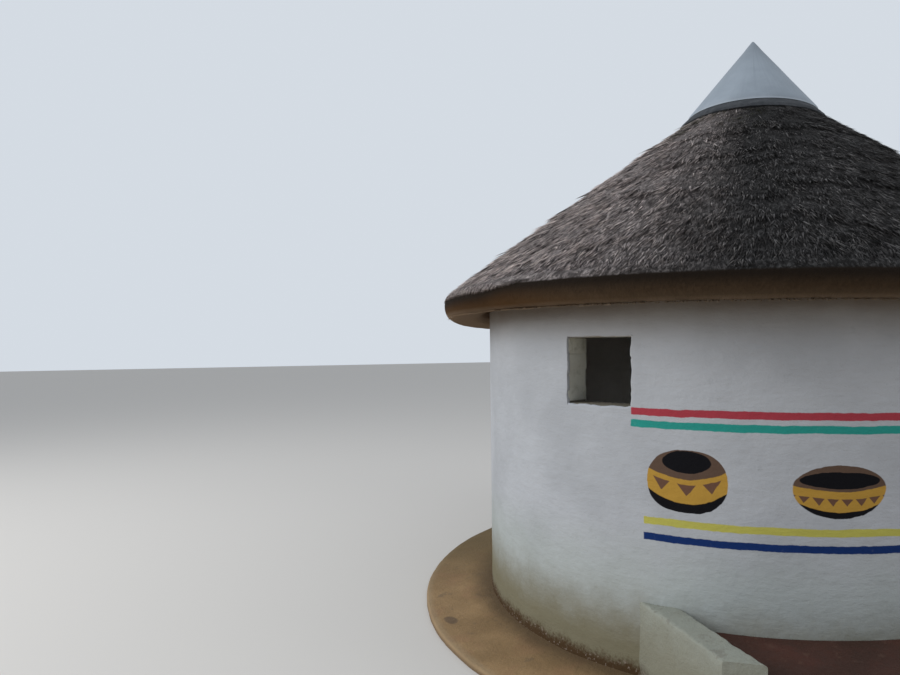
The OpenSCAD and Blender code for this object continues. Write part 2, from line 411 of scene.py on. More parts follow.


# %% [markdown]
# Outdoors the limewash is dirty at its foot and its head. Rain throws soil up the wall, in a wide
# greenish veil and a brown splash zone, and leaves a red-brown line with flaking paint at the very
# foot. Dust and smoke drift down from the grass and stain the wall's top brown, and that top is
# darkened further as painted shade under the eave. Each stain follows the height, and noise makes
# its edge ragged.

# %% Stains from the ground, and stain and painted shade under the eave
def splashed(finish, colour, strength=1.0):
    ragged = finish.speckle(7, 5, 0.65) - 0.5
    fine = finish.speckle(60, 3, 0.6) - 0.5
    up = finish.height() - APRON_T
    splash = up - ragged * 0.20 - fine * 0.06
    colour = finish.stain(colour, (0.345, 0.41, 0.345), splash, 0.90, 0.48, 0.34 * strength)
    colour = finish.stain(colour, (0.157, 0.132, 0.062), splash, 0.56, 0.14, 0.84 * strength)
    line = up - ragged * 0.10 - fine * 0.09
    colour = finish.stain(colour, (0.054, 0.026, 0.009), line, 0.10, 0.02, 0.92 * strength)
    flakes = finish.ease(finish.speckle(42, 4, 0.7), 0.58, 0.64, 0, 0.8)
    return finish.tint(flakes * finish.ease(line, 0.09, 0.04), colour, (0.27, 0.22, 0.18))


def eave_stain_and_shade(finish, colour):
    height = finish.height() + (finish.speckle(2.3, 3, 0.5) - 0.5) * 0.10
    # Both bands darken the wall's top: a dust stain, and painted shade under the eave.
    colour = finish.stain(colour, (0.27, 0.235, 0.18), height, 1.84, 2.05, 0.30)
    return finish.stain(colour, (0.130, 0.088, 0.050), height, 1.99, 2.10, 0.52)


def outdoors(finish, colour):
    return eave_stain_and_shade(finish, splashed(finish, colour))


# %% [markdown]
# The paint. Stripes and vessels are drawn on the wall by eye, so their edges wander a little.
# Each is a mask on the turn from the doorway and the height, which keeps the paint on the
# wall's curve without a picture. The turn is counted alike on both sides of the doorway, so one
# drawing serves both.

# %% Paint and the painter's hand
RED, TEAL = (0.375, 0.048, 0.068), (0.026, 0.29, 0.25)
LEMON, BLUE = (0.47, 0.45, 0.10), (0.008, 0.030, 0.135)
OCHRE, CLAY_BROWN = (0.45, 0.265, 0.050), (0.112, 0.072, 0.052)
TOOTH_BROWN, SOOT = (0.14, 0.075, 0.05), (0.006, 0.006, 0.008)


def by_hand(paint):
    """The true turn in degrees, and the turn and height that the painter's hand took."""
    x, y, z = paint.apart()
    turn = x.sum("ARCTAN2", abs(x), y * -1.0) * (180 / math.pi)
    tremble = (paint.speckle(5, 3, 0.6) - 0.5) * 0.018 + (paint.speckle(30, 2, 0.6) - 0.5) * 0.006
    return turn, turn + tremble * 30, z + tremble


# %% [markdown]
# Two pairs of stripes run from the doorway towards the window: red over teal, and lemon over
# blue. A stripe is where three soft changes meet, at its lower edge, its upper edge and its end,
# and their product is its mask. The paint has thinned a little here and there.

# %% Stripes: a colour, the lower edge and the turn at which it ends
STRIPES = ((RED, 1.488, 72.0), (TEAL, 1.422, 72.0), (LEMON, 0.905, 69.8), (BLUE, 0.819, 69.8))
STRIPE_H, STRIPE_SOFT, END_SOFT = 0.039, 0.0025, 0.1


def striped(paint, colour, turn, high):
    wear_and_painted_light = paint.ease(paint.speckle(22, 5, 0.7), 0.22, 0.40, 0.88, 1.0)
    for shade, low, end in STRIPES:
        top = low + STRIPE_H
        band = (paint.ease(high, low - STRIPE_SOFT, low + STRIPE_SOFT)
                * paint.ease(high, top + STRIPE_SOFT, top - STRIPE_SOFT)
                * paint.ease(turn, end + END_SOFT, end - END_SOFT))
        colour = paint.tint(band * wear_and_painted_light, colour, shade)
    return colour


# %% [markdown]
# Two kinds of vessel stand between the stripes, seen from a little above: round pots and wide
# bowls. Both have a clay shoulder, an ochre belly with a row of brown teeth, a dark foot and a
# dark mouth. Their level lines bow down in the middle, by the square of the distance from it.

# %% What pots and bowls share
def vessel(paint, up, across, belt, teeth, foot, mouth):
    """The layers of a vessel. up is a height, and across goes from -1 to 1 over its width.

    belt and foot are a bow, and the heights at which the change starts and ends. teeth are a
    bow, a top, the width and shift of a tooth, its slant, and the depths at which it ends.
    mouth is a half width, a middle height, a half height and the softness of its edge."""
    square = across * across
    colour = paint.stain(CLAY_BROWN, OCHRE, up - belt[0] * square, *belt[1:])
    bow, top, wide, shift, slant, *ends = teeth
    step = across / wide + shift
    tooth = abs(step.sum("FRACT", step) - 0.5)
    below = bow * square + top - up
    row = paint.ease(below, -0.001, 0.003) * paint.ease(below + tooth * slant, *ends)
    colour = paint.tint(row, colour, TOOTH_BROWN)
    colour = paint.stain(colour, SOOT, up - foot[0] * square, *foot[1:])
    half, middle, tall, soft = mouth
    oval = (across / half) ** 2 + ((up - middle) / tall) ** 2
    return paint.stain(colour, SOOT, oval, 1 + soft, 1 - soft)


# %% Round pots
POT_MIDS, POT_HALF, POT_UP, POT_TALL = (20.8, 63.3), 6.0, 1.149, 0.165
BETWEEN_POTS = 42.0


def with_pots(paint, colour, true_turn, turn, high):
    up = high - POT_UP
    second = true_turn.sum("GREATER_THAN", true_turn, BETWEEN_POTS)
    middle = POT_MIDS[0] + (POT_MIDS[1] - POT_MIDS[0]) * second
    across = (turn - middle) / POT_HALF
    outline = (across * across) ** 1.2 + (abs(up) / POT_TALL) ** 2.3
    pot = vessel(paint, up, across, belt=(0.05, 0.017, 0.011), foot=(0.075, -0.114, -0.120),
                 teeth=(0.05, -0.012, 0.62, 10.5, 0.16, 0.062, 0.056),
                 mouth=(0.60, 0.103, 0.057, 0.05))
    return paint.tint(paint.ease(outline, 1.02, 0.97), colour, pot)


# %% Wide bowls, whose upper and lower halves differ in height
BOWL_MID, BOWL_HALF, BOWL_UP, BOWL_TALL, BOWL_DEEP = 42.05, 6.5, 1.150, 0.117, 0.152


def with_bowls(paint, colour, turn, high):
    up = high - BOWL_UP
    across = (turn - BOWL_MID) / BOWL_HALF
    halves = []
    for tall, sign in ((BOWL_TALL, 1), (BOWL_DEEP, -1)):
        oval = across * across + (up / tall) * (up / tall)
        halves.append(paint.ease(oval, 1.03, 0.97) * paint.ease(up, -0.002 * sign, 0.002 * sign))
    bowl = vessel(paint, up, across, belt=(0.03, -0.014, -0.019), foot=(0.055, -0.117, -0.122),
                  teeth=(0.02, -0.052, 0.30, 10.0, 0.085, 0.039, 0.034),
                  mouth=(0.86, 0.040, 0.042, 0.04))
    return paint.tint(halves[0] + halves[1], colour, bowl)


# %% [markdown]
# The wall takes three finishes from the parts above: painted and stained in front, stained
# behind, and clean in the room. One function makes them, so that they can't drift apart.

# %% Finishes of the wall
def wall_finish(name, white=WHITE, stained=True, painted=False):
    wash = Finish(name)
    colour = limewash(wash, white)
    if stained:
        colour = outdoors(wash, colour)
    if painted:
        true_turn, turn, high = by_hand(wash)
        colour = striped(wash, colour, turn, high)
        colour = with_pots(wash, colour, true_turn, turn, high)
        colour = with_bowls(wash, colour, turn, high)
    return wash.done(colour, 0.9, hand_floated(wash), **DULL)


painted_limewash = wall_finish("painted_limewash", painted=True)
bare_limewash = wall_finish("bare_limewash")
room_limewash = wall_finish("room_limewash", (0.84, 0.83, 0.79), stained=False)

# %% [markdown]
# Whatever stands in the wall starts as a flat grid, measured along the wall's face. A hole in
# it is cut by four planes and the faces between them are deleted. Half a hole's width is taken
# on the arc, so that the opening comes out at its true width once the sheet is bent.

# %% Flat sheets and holes in them
def standing_grid(bm, turn_from, turn_to, low, high, step):
    """A flat grid in the XZ plane that faces -Y, ready to be wrapped at the wall's face."""
    left, right = turn_from * WALL_R, turn_to * WALL_R
    turned = Matrix.Translation(((left + right) / 2, 0, (low + high) / 2))
    turned @= Matrix.Rotation(math.pi / 2, 4, "X")
    turned @= Matrix.Diagonal(((right - left) / 2, (high - low) / 2, 1, 1))
    bmesh.ops.create_grid(bm, x_segments=round((right - left) / step),
                          y_segments=round((high - low) / step), size=1, matrix=turned)


def flat_half(half, radius):
    """Half an opening's width on the flat sheet, so that it comes out right at a radius."""
    return math.asin(half / radius) * WALL_R


def cut_hole(bm, middle, half, low, high):
    """Cuts a rectangular hole in a flat sheet that stands in the XZ plane."""
    left, right = middle - half, middle + half
    for at, normal in (((left, 0, 0), (1, 0, 0)), ((right, 0, 0), (1, 0, 0)),
                       ((0, 0, low), (0, 0, 1)), ((0, 0, high), (0, 0, 1))):
        bmesh.ops.bisect_plane(bm, geom=whole(bm), plane_co=at, plane_no=normal, dist=1e-5)
    gone = [f for f in bm.faces if left < f.calc_center_median().x < right
            and low < f.calc_center_median().z < high]
    bmesh.ops.delete(bm, geom=gone, context="FACES")


# %% [markdown]
# The wall is a ring of small cement blocks with a coat of plaster on each face. The middle is
# modelled as one closed ring: a flat strip, cut for the doorway and the windows, made thick, and
# wrapped until its ends meet. Its holes are cut a little wide, because the blocks beside each
# opening are set as separate pieces.

# %% Middle of the wall
CORE_OUT, CORE_IN = 0.020, 0.176
CORE_STEP = 0.13
DOOR_GAP, WINDOW_GAP, SILL_GAP = 0.020, 0.012, 0.015

bm = bmesh.new()
standing_grid(bm, -math.pi, math.pi, 0, WALL_TOP, CORE_STEP)
half = flat_half(DOOR_W / 2 + DOOR_GAP, WALL_R - CORE_IN)
cut_hole(bm, 0, half, FLOOR_Z - 0.01, DOOR_HEAD + DOOR_GAP)
half = flat_half(WINDOW_W / 2 + WINDOW_GAP, WALL_R - CORE_IN)
for side, _ in SIDES:
    cut_hole(bm, side * WINDOW_TURN * WALL_R, half, WINDOW_SILL - SILL_GAP, WINDOW_HEAD + SILL_GAP)
bmesh.ops.translate(bm, vec=(0, CORE_OUT, 0), verts=bm.verts)
thicken(bm, CORE_IN - CORE_OUT)
ends = [f for f in bm.faces if abs(abs(f.calc_center_median().x) - math.pi * WALL_R) < 1e-4]
bmesh.ops.delete(bm, geom=ends, context="FACES")
wrap_round(bm, WALL_R)
bmesh.ops.remove_doubles(bm, verts=bm.verts, dist=1e-4)
wall_nodes = [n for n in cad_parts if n.startswith("wall_") and n != "wall_plate"]
finish_piece(bm, "block_wall", bare_limewash, wall_nodes)

# %% [markdown]
# The outer plaster comes in four sheets and a strip over the doorway, so that each keeps fine
# detail in its own map when the model is exported. Each is a flat sheet about 20 mm thick whose
# edges at an opening are rounded as a float leaves them. The face then sinks here and there by
# up to 5 mm, spreads where it runs out over the apron, and is ragged and chipped at the openings.

# %% Places on a plaster sheet
def near_hole(at, holes, radius, margin=1e-4):
    for middle, half, bottom, top in holes:
        out = abs(at.x - middle * WALL_R) - flat_half(half, radius)
        if out < margin and bottom - margin < at.z < top + margin:
            return True
    return False


def near_end(at, turns):
    return any(abs(at.x - turn * WALL_R) < 1e-4 for turn in turns)


def side_of(at, holes):
    """-1 or 1: the side of the nearest opening that a place is on."""
    return min((at.x - middle * WALL_R for middle, *_ in holes), key=abs) > 0 or -1


# %% Marks of the hand
def sunk(at, inside):
    """How far the float sank the face. Outdoors the plaster spreads at its foot."""
    foot = 0.0 if inside else max(0.0, 1 - at.z / 0.16)
    return 0.0026 + 0.0016 * bumps(at, 0.55) + 0.0010 * bumps(at, 0.16, 2) - 0.010 * foot * foot


def roughen_rim(v, at, holes):
    """Raggedness at an opening, and chips that bite away from it."""
    chip = 0.013 * max(0.0, bumps(at, 0.030, 11) - 0.22)
    v.co.x += 0.011 * bumps(at, 0.09, 5) + 0.004 * bumps(at, 0.03, 6) + chip * side_of(at, holes)
    v.co.z += 0.009 * bumps(at, 0.09, 8) + 0.004 * bumps(at, 0.03, 9)


# %% A sheet of plaster
ARRIS_R, RIM_BAND = 0.011, 0.03


def plaster_sheet(name, turns, low, high, holes, material, soft_ends=(), step=0.032,
                  inside=False):
    """One coat between two turns. soft_ends are the turns at which it is rounded off."""
    bm = bmesh.new()
    radius = ROOM_R if inside else WALL_R
    thickness = WALL_R - CORE_IN - ROOM_R if inside else CORE_OUT
    standing_grid(bm, *sorted(turns), low, high, step)
    for middle, half, bottom, top in holes:
        cut_hole(bm, middle * WALL_R, flat_half(half, radius), bottom, top)
    rims = [e for e in bm.edges if e.is_boundary
            and all(near_hole(v.co, holes, radius) for v in e.verts)]
    bmesh.ops.subdivide_edges(bm, edges=rims, cuts=3)
    thicken(bm, thickness)
    arris = [e for e in bm.edges if len(e.link_faces) == 2 and e.calc_face_angle(0) > 1
             and max(abs(v.co.y) for v in e.verts) < 1e-5
             and any(near_hole(v.co, holes, radius) or near_end(v.co, soft_ends)
                     for v in e.verts)]
    round_edges(bm, arris, ARRIS_R, 3)
    for v in bm.verts:
        at = Vector((v.co.x, 0, v.co.z))
        v.co.y += (1 - min(v.co.y / thickness, 1.0)) * sunk(at, inside)
        if near_hole(at, holes, radius, RIM_BAND):
            roughen_rim(v, at, holes)
    for v in bm.verts:
        v.co.x *= radius / WALL_R
        v.co.y *= -1 if inside else 1
    wrap_round(bm, radius)
    finish_piece(bm, name, material)


# %% [markdown]
# The sheets meet behind the windows, at 100 degrees from the doorway. The room's plaster is
# seen only through the openings, so it is coarser. Its own openings are cut wider, or its
# rounded edge would show as a pale line in the reveals.

# %% Outer and inner plaster
BACK_SPLIT = math.radians(100)
FRONT_STEP, ROOM_STEP = 0.031, 0.06
window = (WINDOW_W / 2, WINDOW_SILL, WINDOW_HEAD)
wide_window = (WINDOW_W / 2 + WINDOW_GAP, WINDOW_SILL - WINDOW_GAP, WINDOW_HEAD + WINDOW_GAP)
for side, name in SIDES:
    plaster_sheet(f"plaster_front_{name}", (side * DOOR_TURN, side * BACK_SPLIT), 0, WALL_TOP,
                  [(side * WINDOW_TURN, *window)], painted_limewash, (side * DOOR_TURN,),
                  FRONT_STEP)
    plaster_sheet(f"plaster_back_{name}", (side * BACK_SPLIT, side * math.pi), 0, WALL_TOP, [],
                  bare_limewash)
plaster_sheet("plaster_over_door", (-DOOR_TURN, DOOR_TURN), DOOR_HEAD, WALL_TOP, [],
              painted_limewash)
for side, name in SIDES:
    door_in = math.asin(DOOR_W / 2 / ROOM_R)
    plaster_sheet(f"plaster_room_{name}", (side * door_in, side * math.pi), FLOOR_Z, WALL_TOP,
                  [(side * WINDOW_TURN, *wide_window)], room_limewash, (), ROOM_STEP, inside=True)

# %% [markdown]
# The blocks beside an opening show through their limewash, which is rougher and dirtier than that
# of the wall. Its white is brighter than the wall's, as painted light in the shaded reveals. Soil
# lies on the window's sill.

# %% Limewash on the blocks
def block_limewash():
    wash = Finish("jamb_limewash")
    # A brighter white than the wall's: painted light in the reveal.
    colour = limewash(wash, (0.71, 0.725, 0.66))
    colour = wash.stain(colour, (0.30, 0.30, 0.23), wash.speckle(11, 4, 0.65), 0.5, 0.7, 0.55)
    x, _, z = wash.apart()
    sill = wash.ease(abs(z - WINDOW_SILL), 0.014, 0.007, 0, 0.9) * wash.ease(abs(x), 1.0, 1.2)
    colour = wash.tint(sill, colour, (0.105, 0.085, 0.055))
    face = wash.speckle(45, 5, 0.7) * 0.8 + wash.speckle(220, 3, 0.6) * 0.3
    return wash.done(colour, 0.92, wash.relief(face, 0.008))


jamb_limewash = block_limewash()

# %% [markdown]
# Each course of blocks is about 107 mm high and sits a few millimetres in or out of line. Each
# block is a cube that is sized, knocked out of true, and given worn corners. A plain strip of
# mortar fills the joints behind them. The cube is quicker here than a grid, because every edge
# of a block is rounded alike.

# %% Blocks and mortar
COURSE, JOINT, SLAB_T, BLOCK_ROUND = 0.107, 0.007, 0.020, 0.006
chance = np.random.default_rng(7)


def box_at(bm, at, size):
    """A box with its middle at a place. Gives its vertices."""
    shape = Matrix.Translation(at) @ Matrix.Diagonal((*size, 1))
    return bmesh.ops.create_cube(bm, size=1, matrix=shape)["verts"]


def round_box(bm, verts, radius):
    round_edges(bm, list({e for v in verts for e in v.link_edges}), radius, 2)


def jamb(bm, side, half, low, high, reach_in, reach_out, depth):
    """A stack of blocks at one side of an opening that faces -Y."""
    courses = max(1, round((high - low) / COURSE))
    tall = (high - low) / courses
    deep, middle = reach_out - reach_in, -(reach_in + reach_out) / 2
    for k in range(courses):
        block = box_at(bm, (side * (half + depth / 2), middle, low + (k + 0.5) * tall),
                       (depth, deep, tall - JOINT))
        shift = Vector((side * abs(chance.normal(0, 0.0022)), chance.normal(0, 0.002), 0))
        bmesh.ops.translate(bm, verts=block, vec=shift)
        for v in block:
            v.co += Vector(chance.normal(0, 0.0016, 3))
        round_box(bm, block, BLOCK_ROUND)
    box_at(bm, (side * (half + depth / 2 + 0.005), middle, (low + high) / 2),
           (depth, deep - 0.01, high - low))


# %% Reveals of the windows and the doorway
def reveal(name, turn, half, low, high, reach_in, reach_out, depth, with_sill):
    """Both jambs, a head and perhaps a sill, made facing -Y and then turned to their place."""
    bm = bmesh.new()
    for side, _ in SIDES:
        jamb(bm, side, half, low, high, reach_in, reach_out, depth)
    for bottom in [high, low - SLAB_T] if with_sill else [high]:
        slab = box_at(bm, (0, -(reach_in + reach_out) / 2, bottom + SLAB_T / 2),
                      (2 * (half + depth), reach_out - reach_in, SLAB_T))
        round_box(bm, slab, 0.005)
    bmesh.ops.rotate(bm, cent=(0, 0, 0), matrix=Matrix.Rotation(turn, 3, "Z"), verts=bm.verts)
    finish_piece(bm, name, jamb_limewash)


for side, name in SIDES:
    reveal(f"{name}_window_blocks", side * WINDOW_TURN, WINDOW_W / 2, WINDOW_SILL, WINDOW_HEAD,
           reach_in=1.853, reach_out=2.026, depth=0.045, with_sill=True)
reveal("doorway_blocks", 0, DOOR_W / 2, FLOOR_Z, DOOR_HEAD,
       reach_in=1.828, reach_out=2.000, depth=0.035, with_sill=False)

# %% [markdown]
# The apron is trowelled concrete. Its finish has the cloudy browns of the trowel, grit, darker
# patches, a worn rim, soil along the wall's foot, a dark spill on the left, and less light
# behind the hut. The places of the stains come from the reach and the height, so they follow
# the ring by themselves.

# %% Worn concrete
SPILL_AT, SPILL_W, SPILL_D = place(math.radians(-105.6), 2.43), 0.035, 0.060


def worn_concrete():
    concrete = Finish("worn_concrete")
    x, y, z = concrete.apart()
    reach = concrete.reach()
    ragged = (concrete.speckle(6, 5, 0.65) - 0.5) * 0.12
    clouds, grit = concrete.speckle(3.1, 5, 0.6), concrete.speckle(160, 3, 0.7)
    patches, reddish = concrete.speckle(9, 5, 0.7), concrete.speckle(4.3, 4, 0.6)
    spill = ((x - SPILL_AT.x) / SPILL_W) ** 2 + ((y - SPILL_AT.y) / SPILL_D) ** 2
    colour = concrete.stain((0.315, 0.200, 0.092), (0.220, 0.136, 0.058), clouds, 0.3, 0.7)
    for shade, value, low, high, share in (
            ((0.34, 0.26, 0.17), grit, 0.55, 0.75, 0.35),
            ((0.08, 0.055, 0.032), grit, 0.42, 0.30, 0.4),
            ((0.11, 0.08, 0.05), patches, 0.60, 0.68, 0.4),
            ((0.26, 0.14, 0.070), reddish, 0.52, 0.66, 0.35),
            ((0.31, 0.24, 0.15), reach + ragged * 0.3, RIM_R - 0.07, RIM_R - 0.02, 0.38),
            ((0.080, 0.050, 0.021), reach + ragged, WALL_R + 0.20, WALL_R + 0.01, 0.80),
            ((0.07, 0.045, 0.03), spill + (patches - 0.5) * 2.5, 1.5, 0.5, 0.65),
            ((0.13, 0.085, 0.045), z + ragged * 0.05, 0.034, 0.004, 0.7),
            ((0.105, 0.070, 0.022), y / reach, 0.48, 0.85, 0.78)):
        colour = concrete.stain(colour, shade, value, low, high, share)
    height = concrete.speckle(30, 5, 0.65) * 0.8 + grit * 0.3 + clouds * 0.8
    return concrete.done(colour, 0.88, concrete.relief(height, 0.008))


worn_apron = worn_concrete()

# %% [markdown]
# The apron's shape. A slab like this is poured on the ground and trowelled to a fall, so its
# section is a few points with a rounded rim, joined, cut finer and spun round the hut's axis.
# The spin leaves a gap for the stoep, and two vertical cuts open it along the lines where the
# kerbs stand.

# %% Rings on the ground, cut by the kerbs' lines
KERB_FROM = place(math.radians(70.3), WALL_R)
KERB_TO = place(math.radians(56.8), RIM_R)
KERB_T = 0.15
KERB_RUN = (KERB_TO - KERB_FROM).normalized()
KERB_OUT = Vector((0, 0, 1)).cross(KERB_RUN)


def mirrored(at, side):
    return Vector((at.x * side, at.y, at.z))


def rim_arc(top, radius, steps):
    """The (reach, height) points of a rounded rim, from its top outwards."""
    turns = [k * math.pi / (2 * steps) for k in range(steps + 1)]
    return [(RIM_R - radius + radius * math.sin(a), top - radius + radius * math.cos(a))
            for a in turns]


def ground_ring(top, arc, turn_from, turn_to, steps, cuts):
    """Spins the section of a slab that is top high at the wall and ends in an arc."""
    bm = bmesh.new()
    corners = [(WALL_R, 0), (WALL_R, top), *arc, (RIM_R, 0)]
    closed_section(bm, [place(turn_from, reach, z) for reach, z in corners], 0.1, cuts)
    bmesh.ops.spin(bm, geom=bm.verts[:] + bm.edges[:], cent=(0, 0, 0), axis=(0, 0, 1),
                   angle=turn_to - turn_from, steps=steps)
    return bm


def keep_side(bm, inset, outside):
    """Cuts by each kerb's line, inset from its outer face, keeps one side, and closes the ends."""
    for side, _ in SIDES:
        near = [f for f in bm.faces
                if f.calc_center_median().x * side > 0 > f.calc_center_median().y]
        edges, verts = {e for f in near for e in f.edges}, {v for f in near for v in f.verts}
        bmesh.ops.bisect_plane(bm, geom=near + list(edges) + list(verts),
                               plane_co=mirrored(KERB_FROM - KERB_OUT * inset, side),
                               plane_no=mirrored(KERB_OUT, side), clear_inner=outside,
                               clear_outer=not outside, dist=1e-5)
    bmesh.ops.holes_fill(bm, edges=[e for e in bm.edges if e.is_boundary], sides=0)


# %% Apron
ROUND = 0.016
APRON_START, APRON_STEPS, APRON_CUTS = math.radians(53), 300, 16

bm = ground_ring(APRON_T, rim_arc(APRON_T - APRON_FALL, ROUND, 4), APRON_START,
                 2 * math.pi - APRON_START, APRON_STEPS, APRON_CUTS)
keep_side(bm, 0, outside=True)
for v in bm.verts:
    reach = math.hypot(v.co.x, v.co.y)
    outer = max(0.0, (reach - WALL_R - 0.1) / (RIM_R - WALL_R - 0.1))
    at = Vector((v.co.x, v.co.y, 0))
    inward = (0.006 + 0.005 * bumps(at, 0.5) + 0.003 * bumps(at, 0.12, 3)) * outer
    if reach > RIM_R - 0.05:
        inward += 0.004 * max(0, bumps(at, 0.06, 4))
    push_in(v, inward)
    if v.co.z > 0.01:
        v.co.z += 0.003 * bumps(at, 0.3, 5) - 0.002
finish_piece(bm, "concrete_apron", worn_apron, ["apron"])

# %% [markdown]
# The stoep is the raised red floor before the doorway. Red oxide is polished into the cement, so
# it is smoother than the apron, scuffed dull where people walk and dusty low on its face. Its red
# is darkened all over as painted shade. It is made as the apron is, but the part between the kerbs
# is kept, and its rim is worn rounder where people step up.

# %% Red cement
def red_cement():
    cement = Finish("red_cement")
    clouds, scuffs = cement.speckle(2.6, 5, 0.6), cement.speckle(13, 6, 0.7)
    grit = cement.speckle(180, 3, 0.7)
    dust = cement.height() + (scuffs - 0.5) * 0.14
    # Very dark reds: the cement's red is darkened all over as painted shade.
    colour = cement.stain((0.070, 0.026, 0.018), (0.042, 0.019, 0.013), clouds, 0.3, 0.7)
    colour = cement.stain(colour, (0.13, 0.082, 0.058), scuffs, 0.56, 0.72, 0.35)
    colour = cement.stain(colour, (0.13, 0.085, 0.05), dust, 0.17, 0.0, 0.8)
    colour = cement.stain(colour, (0.20, 0.14, 0.10), grit, 0.6, 0.75, 0.25)
    bump = cement.relief(cement.speckle(25, 4, 0.6) + grit * 0.15, 0.004)
    rough = cement.ease(scuffs, 0.4, 0.7, 0.42, 0.75)
    return cement.done(colour, rough, bump, **{"Specular IOR Level": 0.25})


red_floor = red_cement()
give_finish(("room_floor", "door_threshold"), red_floor)

# %% [markdown]
# The stoep ends at the inner face of each kerb, which is the kerb's thickness in from its line.
# Its rim is pushed in by a few millimetres and its top is never quite level, as feet leave it.

# %% Stoep
STOEP_TURN, STOEP_STEPS, STOEP_CUTS = math.radians(74), 150, 14

bm = ground_ring(STOEP_Z, rim_arc(STOEP_Z, 2 * ROUND, 5), -STOEP_TURN, STOEP_TURN, STOEP_STEPS,
                 STOEP_CUTS)
keep_side(bm, KERB_T, outside=False)
for v in bm.verts:
    at = Vector((v.co.x, v.co.y, 0))
    if math.hypot(v.co.x, v.co.y) > RIM_R - 0.06:
        push_in(v, 0.003 + 0.003 * bumps(v.co, 0.3) + 0.003 * max(0, bumps(v.co, 0.05, 4)))
    if v.co.z > STOEP_Z - 0.05:
        v.co.z += 0.0025 * bumps(at, 0.4, 5) - 0.0015
finish_piece(bm, "stoep_floor", red_floor,
             ["stoep_left", "stoep_middle", "stoep_right"])

# %% [markdown]
# The kerbs are low white walls that end the stoep. Their limewash is greyer than the wall's,
# and broken away along the top.

# %% Limewash on the kerbs
def kerb_limewash():
    wash = Finish("kerb_limewash")
    colour = splashed(wash, limewash(wash, (0.295, 0.305, 0.272)), strength=0.6)
    breaks = wash.speckle(16, 5, 0.7)
    top = wash.ease(wash.height() + (breaks - 0.5) * 0.05, KERB_Z - 0.02, KERB_Z - 0.005)
    broken = top * wash.ease(breaks, 0.50, 0.62, 0.0, 0.45)
    colour = wash.tint(broken, colour, (0.17, 0.155, 0.125))
    height = wash.speckle(28, 5, 0.7) + wash.speckle(220, 3, 0.6) * 0.25
    return wash.done(colour, 0.92, wash.relief(height, 0.009))


worn_kerb = kerb_limewash()

# %% [markdown]
# A kerb is a box along the kerb's line, rounded at its top, cut finer by rows of planes, and
# knocked about most near the top. It starts too long. Once it stands in its place, one plane at
# the rim and one inside the wall's face cut its ends, so that they follow the round of the hut.

# %% Kerbs
KERB_SPARE, KERB_ROUND, WORN_BAND = 0.25, 0.014, 0.07
KERB_LENGTH = (KERB_TO - KERB_FROM).length
CUTS_ALONG, CUTS_UP, CUTS_ACROSS = 60, 16, 5
AXES = [Vector(axis) for axis in ((1, 0, 0), (0, 1, 0), (0, 0, 1))]


def worn_box():
    """A kerb along +X, with its face at y = 0 and its back at -KERB_T."""
    bm = bmesh.new()
    long = KERB_LENGTH + 2 * KERB_SPARE
    box_at(bm, (0.5 * KERB_LENGTH, -KERB_T / 2, KERB_Z / 2), (long, KERB_T, KERB_Z))
    top_edges = [e for e in bm.edges if all(v.co.z > KERB_Z - 1e-4 for v in e.verts)]
    round_edges(bm, top_edges, KERB_ROUND, 3)
    cuts = [(AXES[0], -KERB_SPARE + k * long / CUTS_ALONG) for k in range(1, CUTS_ALONG)]
    cuts += [(AXES[2], KERB_Z * k / (CUTS_UP + 0.5)) for k in range(1, CUTS_UP)]
    cuts += [(AXES[1], -KERB_T * k / CUTS_ACROSS) for k in range(1, CUTS_ACROSS)]
    for axis, at in cuts:
        bmesh.ops.bisect_plane(bm, geom=whole(bm), plane_co=axis * at, plane_no=axis)
    return bm


def cut_end(bm, reach, sign):
    """Cuts a kerb square to the hut's radius, and closes the cut."""
    at = KERB_TO if sign > 0 else KERB_FROM
    at = at - KERB_OUT * KERB_T / 2
    out = Vector((at.x, at.y, 0)).normalized()
    cut = bmesh.ops.bisect_plane(bm, geom=whole(bm), plane_co=out * reach, plane_no=out * sign,
                                 clear_outer=True)["geom_cut"]
    edges = [e for e in cut if isinstance(e, bmesh.types.BMEdge)]
    bmesh.ops.holes_fill(bm, edges=edges, sides=0)


for side, name in SIDES:
    bm = worn_box()
    for v in bm.verts:
        wear_and_painted_light = max(0.0, (v.co.z - KERB_Z + WORN_BAND) / WORN_BAND)
        v.co.y += 0.004 * bumps(v.co, 0.09, 2) * (1 if v.co.y < -KERB_T / 2 else -1) - 0.001
        chips = 0.008 * max(0, bumps(v.co, 0.07, side)) + 0.003 * bumps(v.co, 0.03, 4)
        v.co.z -= wear_and_painted_light * (0.006 + chips)
    turned = Matrix((KERB_RUN, KERB_OUT, AXES[2])).transposed().to_4x4()
    turned.translation = KERB_FROM
    bmesh.ops.transform(bm, matrix=turned, verts=bm.verts)
    cut_end(bm, RIM_R - 0.004, 1)
    cut_end(bm, WALL_R - 0.02, -1)
    bmesh.ops.scale(bm, vec=(side, 1, 1), verts=bm.verts)
    finish_piece(bm, f"kerb_wall_{name}", worn_kerb, [f"kerb_{name}"])

# %% [markdown]
# The timber under the grass: gum poles with their bark off, grey-brown, with long cracks and
# dark knots. The CAD shapes are right, so they keep them and take this finish. The grain runs
# along each pole because the noise is stretched along the slope and is fine round the hut.

# %% Gum poles
def gum_pole():
    pole = Finish("gum_pole")
    grain = pole.speckle(1.0, 6, 0.65, pole.down_the_slope(60, 2.2))
    knots = pole.speckle(9, 3, 0.6)
    colour = pole.stain((0.060, 0.036, 0.020), (0.20, 0.13, 0.078), grain, 0.3, 0.7)
    colour = pole.stain(colour, (0.03, 0.018, 0.011), knots, 0.62, 0.72, 0.7)
    return pole.done(colour, 0.75, pole.relief(grain + knots * 0.4, 0.004))


give_finish(("wall_plate", "long_rafters", "short_rafters", "roof_boss", "roof_laths"),
            gum_pole())

